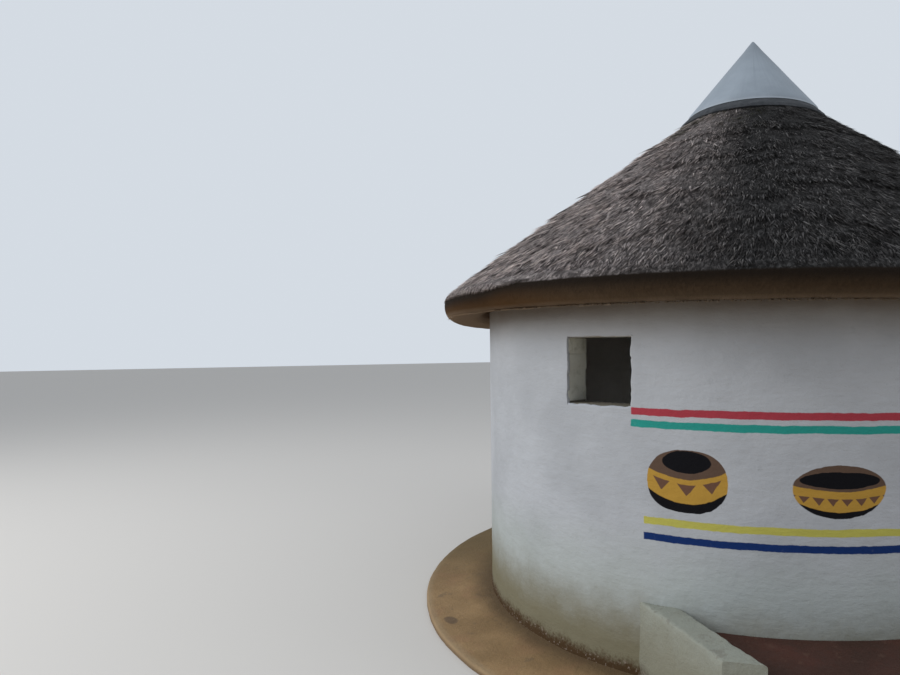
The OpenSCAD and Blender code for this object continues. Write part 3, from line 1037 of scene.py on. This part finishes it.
# %% [markdown]
# The colours of the grass. The roof is painted lighter on the camera's left, as painted sheen, and
# darker on its front, towards the camera and the doorway, as painted shade. The back, out of the
# camera's view, is halfway between the two. Under the eave the cut grass stays brown, because rain
# and sun don't reach it. It is black just under the edge as painted shadow, paler low on the nose
# as painted light, and darker at the back left, partly as painted shade. Each of these is a mask
# on the bearing that the roof faces, in degrees from the doorway, so that it lies on the hut and
# not on the camera's view.

# %% Painted sheen and shade, and the underside
BACK_LEFT, SHEEN_BEARING, MOSSY, LEAST_SHADE_BEARING = -128, -118, -100, 150
EDGE_Z, EDGE_DROP = 2.199, 0.028


def facing(finish, bearing, low, high):
    """From 0 to 1 as the roof turns to face a bearing."""
    x, y, _ = finish.apart()
    towards = place(math.radians(bearing), 1)
    return finish.ease((x * towards.x + y * towards.y) / finish.reach(), low, high)


def painted_sheen_and_shade(finish, colour):
    # Darker towards the front and lightest towards the back: painted shade.
    painted_shade_tint = finish.tint(facing(finish, LEAST_SHADE_BEARING, -0.3, 0.8), (0.31, 0.32, 0.325),
                            (0.80, 0.78, 0.77))
    # Lighter towards the camera's left: painted sheen.
    painted_sheen_tint = finish.tint(facing(finish, SHEEN_BEARING, 0.43, 0.84), painted_shade_tint, (2.05, 1.93, 1.89))
    settings = {"data_type": "RGBA", "blend_type": "MULTIPLY", "clamp_result": False}
    return finish.add("ShaderNodeMix", settings, {0: 1.0, 6: colour, 7: painted_sheen_tint}, out=2)


def edge_height(finish):
    """Where the grey grass of the slope ends: lower at the back left, where it hangs over."""
    return EDGE_Z - EDGE_DROP * facing(finish, BACK_LEFT, 0.76, 0.86)


def under_grass(finish, shade):
    """Cut grass: black just under the edge as painted shadow, paler low on the nose as painted
    light, darker and warmer towards the back left, partly as painted shade.
    """
    z = finish.height()
    brown = finish.stain((0.052, 0.033, 0.019), (0.092, 0.060, 0.035), shade, 0.25, 0.65)
    # Darker and warmer at the back left: partly the grass's colour, partly painted shade where the
    # lamp shines on it.
    brown = finish.tint(facing(finish, BACK_LEFT, 0.55, 0.95), brown, (0.082, 0.035, 0.007))
    wear_and_painted_light = finish.tint(facing(finish, BACK_LEFT, 0.4, 0.8), (0.124, 0.095, 0.066),
                       (0.125, 0.068, 0.027))
    # Paler low on the nose and at its lip: painted light on faces that look down.
    brown = finish.stain(brown, wear_and_painted_light, z, 2.125, 2.070, 0.70)
    brown = finish.stain(brown, (0.33, 0.26, 0.19), z, 2.092, 2.068, 0.45)
    # Near black just under the edge of the slope's grass: painted shadow.
    return finish.stain(brown, (0.007, 0.004, 0.002), z - edge_height(finish), -0.125, -0.012,
                        0.97)


# %% [markdown]
# Thatching grass is laid in thick bundles with its butts down the slope, so the roof has streaks
# that run down it, tufts that lift, and dark gaps between them. Two kinds of finish show this. The
# coat has noise that is long down the slope and fine round the hut. It is near-black between its
# pale streaks and where the tufts sink, as painted shade in the gaps between the straws. A straw
# has one shade from end to end, which its mesh holds as an attribute, because that is what tells
# one straw from the next.

# %% Grass finishes
def grass_coat():
    coat = Finish("grass_with_painted_shade")
    streaks = coat.speckle(1.0, 5, 0.7, coat.down_the_slope(110, 34), 1.5)
    tufts = coat.speckle(17, 4, 0.65)
    # Near-black between pale streaks and where tufts sink: painted shade in the gaps between the
    # straws.
    colour = coat.stain((0.028, 0.026, 0.026), (0.20, 0.19, 0.188), streaks, 0.42, 0.66)
    colour = coat.stain(colour, (0.028, 0.026, 0.026), tufts, 0.55, 0.35, 0.75)
    # Painted sheen on the camera's left and painted shade on the front.
    colour = painted_sheen_and_shade(coat, colour)
    below_edge = coat.height() + (tufts - 0.5) * 0.01 - edge_height(coat)
    butts = under_grass(coat, streaks * 0.6 + tufts * 0.3)
    colour = coat.stain(colour, butts, below_edge, 0.008, -0.006)
    return coat.done(colour, 0.9, coat.relief(streaks * 0.6 + tufts * 0.5, 0.012), **DULL)


def straw_finish(name, under):
    straw = Finish(name)
    shade = straw.add("ShaderNodeAttribute", {"attribute_name": "shade"}, out="Fac")
    if under:
        return straw.done(under_grass(straw, shade), 0.85, **DULL)
    z = straw.height()
    colour = straw.stain((0.020, 0.019, 0.0195), (0.34, 0.32, 0.32), shade, 0.05, 0.80)
    colour = straw.stain(colour, (0.52, 0.49, 0.48), shade, 0.75, 1.0)
    colour = straw.stain(colour, (0.030, 0.029, 0.030), straw.speckle(1.6, 4, 0.6), 0.45, 0.70,
                         0.40)
    # Painted sheen on the camera's left and painted shade on the front.
    colour = painted_sheen_and_shade(straw, colour)
    shadow = straw.ease(z, 2.232, 2.206, 0, 0.8) * (1 - facing(straw, BACK_LEFT, 0.72, 0.83))
    colour = straw.tint(shadow, colour, (0.010, 0.007, 0.004))
    moss = straw.ease(straw.speckle(6, 4, 0.65), 0.42, 0.6) * straw.ease(z, 3.22, 3.46) * 0.55
    moss = moss * facing(straw, MOSSY, 0.5, 0.9)
    return straw.done(straw.tint(moss, colour, (0.085, 0.088, 0.040)), 0.75, **DULL)


grass_under = grass_coat()
roof_straw = straw_finish("roof_straw", under=False)
soffit_straw = straw_finish("soffit_straw", under=True)

# %% [markdown]
# The coat of grass is a band about 170 mm thick between two cones of one pitch, which ends in a
# round nose. The nose's radius and middle are the CAD model's, chosen so that it meets both the
# slope and the soffit smoothly. The soffit falls a little from the wall to the eave.

# %% Places on the coat
NOSE_R, NOSE_AT = 0.08772, Vector((2.29228, 0, 2.15203))
SOFFIT_FALL = math.radians(8.623)
EAVE_TOP = NOSE_AT + Vector((math.sin(PITCH), 0, math.cos(PITCH))) * NOSE_R
HOLE_R, PLATE_R, UNDER_Z = 0.165, 1.955, 2.2930


def slope_height(at_plate, reach):
    """The height of a cone of the roof's pitch at a reach, given its height at the plate."""
    return at_plate + (PLATE_R - reach) * math.tan(PITCH)


TOP_Z = EAVE_TOP.z + (EAVE_TOP.x - PLATE_R) * math.tan(PITCH)
print("thatch top at the plate", round(TOP_Z, 4), "eave top", tuple(round(c, 3) for c in EAVE_TOP))

# %% [markdown]
# Two things keep the coat from being a plain cone. The grass is laid in courses, each of which
# stands out a little over the one below, and bundles make it swell and sink. At the back left
# the eave has sunk by up to 60 mm. Both are written as functions of a place, because the coat
# and the straws on it have to agree.

# %% Courses, swells and the sunken eave
COURSES, COURSE_LAP = 5, 0.012
COURSE_FROM, COURSE_TO = 2.3445, 0.595
SAG, SAG_FROM, SAG_OVER, SAG_BACK = 0.060, 88, 62, 25


def swell(at):
    """How far the grass stands in or out of the true slope at a place, in metres."""
    uneven = 0.45 * bumps(at, 0.40, 6) + 0.30 * bumps(at, 0.13, 7)
    share = (COURSE_FROM - math.hypot(at.x, at.y)) / (COURSE_FROM - COURSE_TO)
    course = share * COURSES + uneven
    lap = COURSE_LAP * (1 - course % 1.0) if 0.7 < course < COURSES else 0.0
    rolling = 0.006 * bumps(at, 0.32) + 0.005 * bumps(at, 0.11, 2) + 0.004 * bumps(at, 0.05, 4)
    return -0.013 + lap + rolling


def sag(turn):
    """How far the eave has sunk: most at the back left, nothing towards the doorway."""
    degrees = np.degrees(turn)
    behind = np.clip((-degrees - SAG_FROM) / SAG_OVER, 0, 1)
    return SAG * behind * behind * (3 - 2 * behind) * np.clip((180 + degrees) / SAG_BACK, 0, 1)


# %% [markdown]
# The body of the coat is one section spun round the axis: down the slope, round the nose, back
# along the soffit, up the wall's face and up the underside. The nose is a single point that is
# spun about the nose's own centre. The long edges are cut finer first, so that there is
# something to push in and out.

# %% Section of the coat, spun
ON_WALL = WALL_R + 0.003

bm = bmesh.new()
top = bm.verts.new((HOLE_R, 0, slope_height(TOP_Z, HOLE_R)))
turned = bm.verts.new(EAVE_TOP)
slope_edge = bm.edges.new((top, turned))
nose = bmesh.ops.spin(bm, geom=[turned], cent=NOSE_AT, axis=(0, 1, 0),
                      angle=math.pi - PITCH + SOFFIT_FALL, steps=12)["geom_last"]
lip = verts_in(nose)[0]
print("nose ends at", tuple(round(c, 3) for c in lip.co))
chain = [lip]
for reach, z in ((ON_WALL, WALL_TOP), (ON_WALL, slope_height(UNDER_Z, WALL_R)),
                 (HOLE_R, slope_height(UNDER_Z, HOLE_R))):
    chain.append(bm.verts.new((reach, 0, z)))
soffit, beside_wall, underside = [bm.edges.new(pair) for pair in zip(chain, chain[1:])]
bm.edges.new((chain[-1], top))
for edge, cuts in ((slope_edge, 74), (soffit, 11), (beside_wall, 2), (underside, 16)):
    bmesh.ops.subdivide_edges(bm, edges=[edge], cuts=cuts)
spin_full(bm, 240, 1e-4)

# %% [markdown]
# The coat is then pushed about along its own normals: by the swell on the slope, and by a few
# millimetres where the grass is cut. The nose and the soffit also come down with the eave where
# it has sunk. This moves points of the finished ring, because a spun section is the same at
# every turn.

# %% Push the coat about
bmesh.ops.recalc_face_normals(bm, faces=bm.faces)
bm.normal_update()
for v in bm.verts:
    reach = math.hypot(v.co.x, v.co.y)
    above = v.co.z - slope_height((TOP_Z + UNDER_Z) / 2, reach)
    if above > 0 and reach < NOSE_AT.x:
        v.co += v.normal * swell(v.co)
    elif reach > WALL_R + 0.02:
        v.co += v.normal * (0.003 * bumps(v.co, 0.20) + 0.002 * bumps(v.co, 0.06, 2) - 0.006)
        low = min(1.0, max(0.0, (EAVE_TOP.z - 0.02 - v.co.z) / 0.09))
        low *= min(1.0, (reach - WALL_R) / 0.1)
        v.co.z -= low * sag(math.atan2(v.co.x, -v.co.y))
finish_piece(bm, "grass_coat", grass_under,
             [f"thatch_{k}" for k in range(1, 13)], smooth=60)

# %% [markdown]
# The straws. One straw is a thin three-sided spike, straight or with a bend. It is made once,
# with bmesh, and read back as plain arrays, because there are about 165,000 of them.

# %% One straw
def drawn_out(bm, faces, by):
    """Extrudes faces and moves what is new. Gives the new faces and vertices."""
    new = bmesh.ops.extrude_face_region(bm, geom=faces)["geom"]
    verts = verts_in(new)
    bmesh.ops.translate(bm, vec=by, verts=verts)
    return [f for f in new if isinstance(f, bmesh.types.BMFace)], verts


def straw_shape(steps):
    """A spike along +X, one unit long, wide and thick. Its root is at the origin."""
    bm = bmesh.new()
    lying = Matrix.Rotation(math.pi / 2, 4, "Y") @ Matrix.Rotation(math.pi, 4, "Z")
    bmesh.ops.create_circle(bm, cap_ends=True, segments=3, radius=0.5, matrix=lying)
    faces = bm.faces[:]
    for step in steps:
        faces, tip = drawn_out(bm, faces, step)
    bmesh.ops.pointmerge(bm, verts=tip, merge_co=sum((v.co for v in tip), Vector()) / 3)
    bmesh.ops.recalc_face_normals(bm, faces=bm.faces)
    bm.verts.index_update()
    corners = np.array([v.co for v in bm.verts])
    faces = [[v.index for v in f.verts] for f in bm.faces]
    bm.free()
    print("straw of", len(corners), "vertices and", len(faces), "faces")
    return corners, faces


straight = straw_shape([(1, 0, 0)])
bent = straw_shape([(0.6, 0, 0.35), (0.4, 0, -0.3)])

# %% [markdown]
# Tens of thousands of copies are joined in one mesh. As many objects, or a bmesh copy for each,
# would take minutes, so numpy turns and scales all the copies at once and the arrays are
# written straight to a mesh. Each copy has a root, a direction along it and one that faces out.

# %% Many straws in one mesh
def unit(rows):
    return rows / np.linalg.norm(rows, axis=1)[:, None]


def join_straws(name, shape, roots, along, outward, sizes, shades, material):
    """sizes are length, width and thickness. shades become the attribute of that name."""
    corners, faces = shape
    count, each = len(roots), len(corners)
    outward = unit(outward - along * np.sum(outward * along, 1)[:, None])
    axes = np.stack((along, np.cross(outward, along), outward), 1) * sizes[:, :, None]
    verts = np.einsum("ij,njk->nik", corners, axes) + roots[:, None, :]
    loops = np.concatenate([np.array(f) for f in faces])
    every_loop = (loops[None, :] + each * np.arange(count)[:, None]).ravel()
    every_side = np.tile(np.array([len(f) for f in faces]), count)
    mesh = bpy.data.meshes.new(name)
    mesh.vertices.add(count * each)
    mesh.vertices.foreach_set("co", verts.astype(np.float32).ravel())
    mesh.loops.add(len(every_loop))
    mesh.loops.foreach_set("vertex_index", every_loop.astype(np.int32))
    mesh.polygons.add(len(every_side))
    starts = np.cumsum(every_side) - every_side
    mesh.polygons.foreach_set("loop_start", starts.astype(np.int32))
    mesh.update(calc_edges=True)
    shade = mesh.attributes.new("shade", "FLOAT", "POINT")
    shade.data.foreach_set("value", np.repeat(shades, each).astype(np.float32))
    write_piece(mesh, name, material)


# %% [markdown]
# A straw is placed by its turn and reach, and then leans sideways on the slope and dips its
# lower end off it. The helpers do this for all the straws of a kind at once. The seed of each
# kind is fixed, so that every run gives the same roof.

# %% Directions on the roof
UP = np.array([0, 0, 1.0])


def around(turn, reach, z):
    return np.stack((reach * np.sin(turn), -reach * np.cos(turn), z), 1)


def out_and_side(turn):
    """Level directions at each turn: out from the hut's axis, and round it."""
    level = np.zeros_like(turn)
    return around(turn, 1.0, level), np.stack((np.cos(turn), np.sin(turn), level), 1)


def turned_by(angle, first, second):
    """Turns the first directions towards the second by an angle for each."""
    return first * np.cos(angle)[:, None] + second * np.sin(angle)[:, None]


def lean_straws(turn, reach, lean, dip, sunk_by):
    """Roots, directions and outward directions of straws that lie down the slope."""
    out, side = out_and_side(turn)
    down = out * math.cos(PITCH) - UP * math.sin(PITCH)
    normal = out * math.sin(PITCH) + UP * math.cos(PITCH)
    along = turned_by(dip, turned_by(lean, down, side), normal)
    roots = around(turn, reach, slope_height(TOP_Z, reach))
    height = np.array([swell(Vector(p)) for p in roots]) - sunk_by
    return roots + normal * height[:, None], unit(along), normal


def ranges(rng, count, *limits):
    """Random columns, each drawn evenly between its two limits."""
    return np.stack([rng.uniform(low, high, count) for low, high in limits], 1)


def shades_about(rng, count, middle, spread):
    return np.clip(rng.normal(middle, spread, count), 0, 1)


# %% [markdown]
# On the slope the straws come in bundles. Each bundle gets a place, a lean and a shade, spread
# evenly by area, and its straws vary a little from it. A tenth of the bundles lie further
# askew. The roof is in four quarters, which keeps each piece small enough, and each quarter
# also has loose, bent straws that stand off it.

# %% Straws on the slope
BUNDLES_FROM, BUNDLES_TO = 0.53, 2.33
STRAW_LONG, STRAW_WIDE, LOOSE_LONG, LOOSE_WIDE = 0.087, 0.0094, 0.13, 0.0052


def lay_bundles(seed, turn_from, turn_to, bundles, each, long, wide):
    rng = np.random.default_rng(seed)
    share = (np.arange(bundles) + rng.random(bundles)) / bundles
    reach = np.sqrt(BUNDLES_FROM ** 2 + share * (BUNDLES_TO ** 2 - BUNDLES_FROM ** 2))
    turn = turn_from + rng.random(bundles) * (turn_to - turn_from)
    combed = [bumps(p, 0.5, 12) for p in around(turn, reach, 3 - reach)]
    lean = 0.22 * np.array(combed) + rng.normal(0, 0.12, bundles)
    lean += (rng.random(bundles) < 0.10) * rng.normal(0, 0.30, bundles)
    shade = shades_about(rng, bundles, 0.40, 0.20)
    lift = rng.uniform(-0.02, 0.12, bundles)
    reach, turn, lean, shade, lift = (np.repeat(a, each) for a in (reach, turn, lean, shade, lift))
    n = bundles * each
    turn = turn + rng.normal(0, 0.020, n) / reach
    reach = np.clip(reach + rng.normal(0, 0.035, n), BUNDLES_FROM - 0.02, BUNDLES_TO + 0.01)
    lean = lean + rng.normal(0, 0.14, n)
    dip = lift + rng.normal(0.07, 0.04, n)
    roots, along, normal = lean_straws(turn, reach, lean, dip, rng.uniform(0.002, 0.008, n))
    to_eave = (EAVE_R - 0.014 - reach) / math.cos(PITCH)
    sizes = ranges(rng, n, (0.5, 1.3), (0.6, 1.5), (0.003, 0.006)) * (long, wide, 1)
    sizes[:, 0] = np.maximum(np.minimum(sizes[:, 0], to_eave), 0.02)
    pale = rng.normal(0, 0.24, n) + (rng.random(n) < 0.08) * 0.5
    return roots, along, normal, sizes, np.clip(shade + pale, 0, 1)


sparse = 1
for k in range(4):
    quarter = (k * math.pi / 2 - math.pi, (k + 1) * math.pi / 2 - math.pi)
    fields = lay_bundles(20 + k, *quarter, 2500 // sparse, 12, STRAW_LONG, STRAW_WIDE)
    join_straws(f"roof_straws_{k + 1}", straight, *fields, roof_straw)
    fields = lay_bundles(40 + k, *quarter, 200 // sparse, 5, LOOSE_LONG, LOOSE_WIDE)
    join_straws(f"loose_straws_{k + 1}", bent, *fields, roof_straw)

# %% [markdown]
# The eave's edge. The last straws of the slope hang over the nose and make its ragged dark
# line. At the back left the grass hangs further over, so there another row hugs the nose.

# %% Straws that hang over the eave
def eave_fringe(seed, count):
    rng = np.random.default_rng(seed)
    turn = rng.random(count) * 2 * math.pi
    reach = rng.uniform(EAVE_R - 0.15, EAVE_R - 0.055, count)
    dip = rng.normal(-0.02, 0.06, count)
    roots, along, normal = lean_straws(turn, reach, rng.normal(0, 0.22, count), dip,
                                       rng.uniform(-0.004, 0.006, count))
    ragged = np.array([bumps(p, 0.06, 21) for p in roots])
    sizes = ranges(rng, count, (0.045, 0.075), (0.004, 0.009), (0.003, 0.006))
    over_nose = (EAVE_R - 0.021 + 0.012 * ragged - reach) / 0.80
    sizes[:, 0] = np.minimum(sizes[:, 0], over_nose)
    return roots, along, normal, sizes, shades_about(rng, count, 0.34, 0.24)


def hanging_fringe(seed, count):
    """angle is the place on the nose, in degrees above its middle."""
    rng = np.random.default_rng(seed)
    turn = np.radians(rng.uniform(-172, -84, count))
    degrees = np.degrees(turn)
    share = np.clip((-degrees - 84) / 9, 0, 1) * np.clip((degrees + 172) / 9, 0, 1)
    angle = np.radians(56 - rng.random(count) ** 0.8 * (6 + 28 * share))
    radius = NOSE_R - 0.006
    roots = around(turn, NOSE_AT.x + radius * np.cos(angle), NOSE_AT.z + radius * np.sin(angle))
    out, side = out_and_side(turn)
    point, down = turned_by(angle, out, UP), turned_by(angle, -UP, out)
    lift, lean = rng.normal(-0.05, 0.06, count)[:, None], rng.normal(0, 0.2, count)[:, None]
    sizes = ranges(rng, count, (0.016, 0.030), (0.004, 0.008), (0.003, 0.005))
    along = unit(down + point * lift + side * lean)
    return roots, along, point, sizes, shades_about(rng, count, 0.36, 0.24)


# %% [markdown]
# Below the edge the cut butts point out and down, packed close round the nose. Along the soffit
# they lie almost flat, because the knife crossed them at a low angle.

# %% Cut butts
def cut_butts(seed, count):
    """Short butts round the nose, from its top to the soffit."""
    rng = np.random.default_rng(seed)
    turn = rng.random(count) * 2 * math.pi
    angle = np.radians(rng.uniform(-98, 46, count))
    radius = NOSE_R + rng.uniform(-0.032, -0.022, count)
    z = NOSE_AT.z + radius * np.sin(angle) - sag(turn) * (1 - np.sin(angle)) / 2
    roots = around(turn, NOSE_AT.x + radius * np.cos(angle), z)
    out, side = out_and_side(turn)
    point, down = turned_by(angle, out, UP), out * math.cos(PITCH) - UP * math.sin(PITCH)
    along = unit(point * 0.75 + down * 0.5 + side * rng.normal(0, 0.15, count)[:, None])
    sizes = ranges(rng, count, (0.020, 0.028), (0.003, 0.007), (0.003, 0.006))
    return roots, along, side, sizes, shades_about(rng, count, 0.45, 0.14)


def soffit_butts(seed, count):
    rng = np.random.default_rng(seed)
    turn = rng.random(count) * 2 * math.pi
    inner, outer = WALL_R - 0.01, EAVE_R - 0.06
    reach = np.sqrt(inner ** 2 + rng.random(count) * (outer ** 2 - inner ** 2))
    sunk_here = sag(turn) * np.clip((reach - WALL_R) / 0.1, 0, 1)
    fallen = (reach - WALL_R) * math.tan(SOFFIT_FALL) + sunk_here
    roots = around(turn, reach, WALL_TOP - fallen + rng.uniform(0.001, 0.005, count))
    out, side = out_and_side(turn)
    dip, lean = rng.normal(0.22, 0.05, count)[:, None], rng.normal(0, 0.25, count)[:, None]
    sizes = ranges(rng, count, (0.03, 0.065), (0.004, 0.008), (0.003, 0.005))
    shades = shades_about(rng, count, 0.42, 0.16)
    return roots, unit(out + side * lean - UP * dip), np.tile(-UP, (count, 1)), sizes, shades


for name, kind, seed, count, finish in (("eave_fringe", eave_fringe, 61, 12500, roof_straw),
                                        ("hanging_fringe", hanging_fringe, 64, 6000, roof_straw),
                                        ("eave_butts", cut_butts, 62, 13000, soffit_straw),
                                        ("soffit_butts", soffit_butts, 63, 9000, soffit_straw)):
    join_straws(name, straight, *kind(seed, count // sparse), finish)

# %% [markdown]
# The cap. A metal cone, painted pale blue-grey, keeps the rain out of the peak. Its outline is a
# few points that are spun, with a round tip and a rim that drops steeper. Blender's own cone would
# have neither, nor a thickness. The sheet has shallow dents, and its paint runs in streaks, is
# darker towards the tip and is lighter along the rim.

# %% Cap paint
CAP_R, COLLAR_R = 0.51, 0.565
collar_low, collar_high = [c.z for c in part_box("cap_collar")]
cap_low, cap_high = [c.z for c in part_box("cap_cone")]
print("collar from", round(collar_low, 3), "cap from", round(cap_low, 3), "to", round(cap_high, 3))


def cap_paint():
    coat = Finish("cap_paint")
    z, clouds = coat.height(), coat.speckle(4, 4, 0.6)
    streaks = coat.speckle(1.0, 5, 0.6, coat.down_the_slope(14, 1.6))
    colour = coat.stain((0.225, 0.270, 0.318), (0.285, 0.335, 0.390), clouds, 0.3, 0.7)
    colour = coat.stain(colour, (0.19, 0.225, 0.264), streaks, 0.5, 0.7, 0.25)
    colour = coat.stain(colour, (0.15, 0.175, 0.205), z, cap_low + 0.25, cap_high, 0.40)
    colour = coat.stain(colour, (0.42, 0.46, 0.50), z, cap_low + 0.030, cap_low + 0.005, 0.30)
    rough = coat.ease(clouds, 0.3, 0.7, 0.50, 0.65)
    return coat.done(colour, rough, coat.relief(clouds + streaks * 0.3, 0.004))


# %% Cap
TIP_R, FLARE_H, FLARE_W, CAP_STEPS = 0.014, 0.031, 0.014, 160
side_angle = math.atan2(cap_high - cap_low - FLARE_H, CAP_R - FLARE_W)
tip_mid = cap_high - TIP_R
tip = [(TIP_R * math.cos(a), tip_mid + TIP_R * math.sin(a))
       for a in np.linspace(math.pi / 2 - side_angle, math.pi / 2, 5)]
flare = [(CAP_R - FLARE_W * math.sin(t * math.pi / 2), cap_low + FLARE_H * t)
         for t in (0.35, 0.7, 1.0)]
inner = [(0, tip_mid - 0.012), (CAP_R - 0.03, cap_low + FLARE_H), (CAP_R - 0.018, cap_low)]
bm = bmesh.new()
outline = [(CAP_R, cap_low + 0.004), *flare, *tip, *inner]
closed_section(bm, [(reach, 0, z) for reach, z in outline], 0.3, 14)
spin_full(bm, CAP_STEPS, 1e-5)
for v in bm.verts:
    if math.hypot(v.co.x, v.co.y) > 0.03 and v.co.z < cap_high - 0.05:
        push_in(v, 0.002 - 0.0022 * bumps(v.co, 0.28, 2))
finish_piece(bm, "cap_sheet", cap_paint(), ["cap_cone"], smooth=40)

# %% [markdown]
# The collar is a band of mortar that beds the cap on the grass. Its near-black colour is partly
# the mortar's own and partly painted shade under the cap's rim. It is spun too. Mortar is pressed
# on by hand, so its lower edge then slides up and down the slope here and there.

# %% Mortar collar
COLLAR_STEPS = 220


def mortar():
    band = Finish("collar_mortar")
    lumps = band.speckle(18, 5, 0.7)
    # Near-black: dark mortar, and painted shade under the cap's rim.
    colour = band.stain((0.026, 0.031, 0.038), (0.058, 0.064, 0.072), lumps, 0.35, 0.7)
    return band.done(colour, 0.9, band.relief(lumps + band.speckle(90, 3, 0.6) * 0.3, 0.012))


bm = bmesh.new()
outline = [(CAP_R - 0.06, collar_high), (CAP_R + 0.002, collar_high - 0.002),
           (CAP_R + 0.02, collar_high - 0.018), (COLLAR_R - 0.006, collar_low + 0.016),
           (COLLAR_R, collar_low - 0.004), (COLLAR_R - 0.03, collar_low - 0.02),
           (CAP_R - 0.06, collar_low + 0.03)]
closed_section(bm, [(reach, 0, z) for reach, z in outline], 0.03, 3)
spin_full(bm, COLLAR_STEPS, 1e-5)
for v in bm.verts:
    reach = math.hypot(v.co.x, v.co.y)
    low_part = min(1.0, max(0.0, (reach - CAP_R) / (COLLAR_R - CAP_R)))
    slide = (0.010 * bumps(v.co, 0.10, 3) + 0.006 * bumps(v.co, 0.035, 5)) * low_part
    v.co += Vector((v.co.x / reach * math.cos(PITCH), v.co.y / reach * math.cos(PITCH),
                    -math.sin(PITCH))) * slide
    v.co.z += 0.004 * bumps(v.co, 0.05, 6) * low_part
finish_piece(bm, "mortar_collar", mortar(), ["cap_collar"], smooth=50)

# %% Update the scene
bpy.context.view_layer.update()
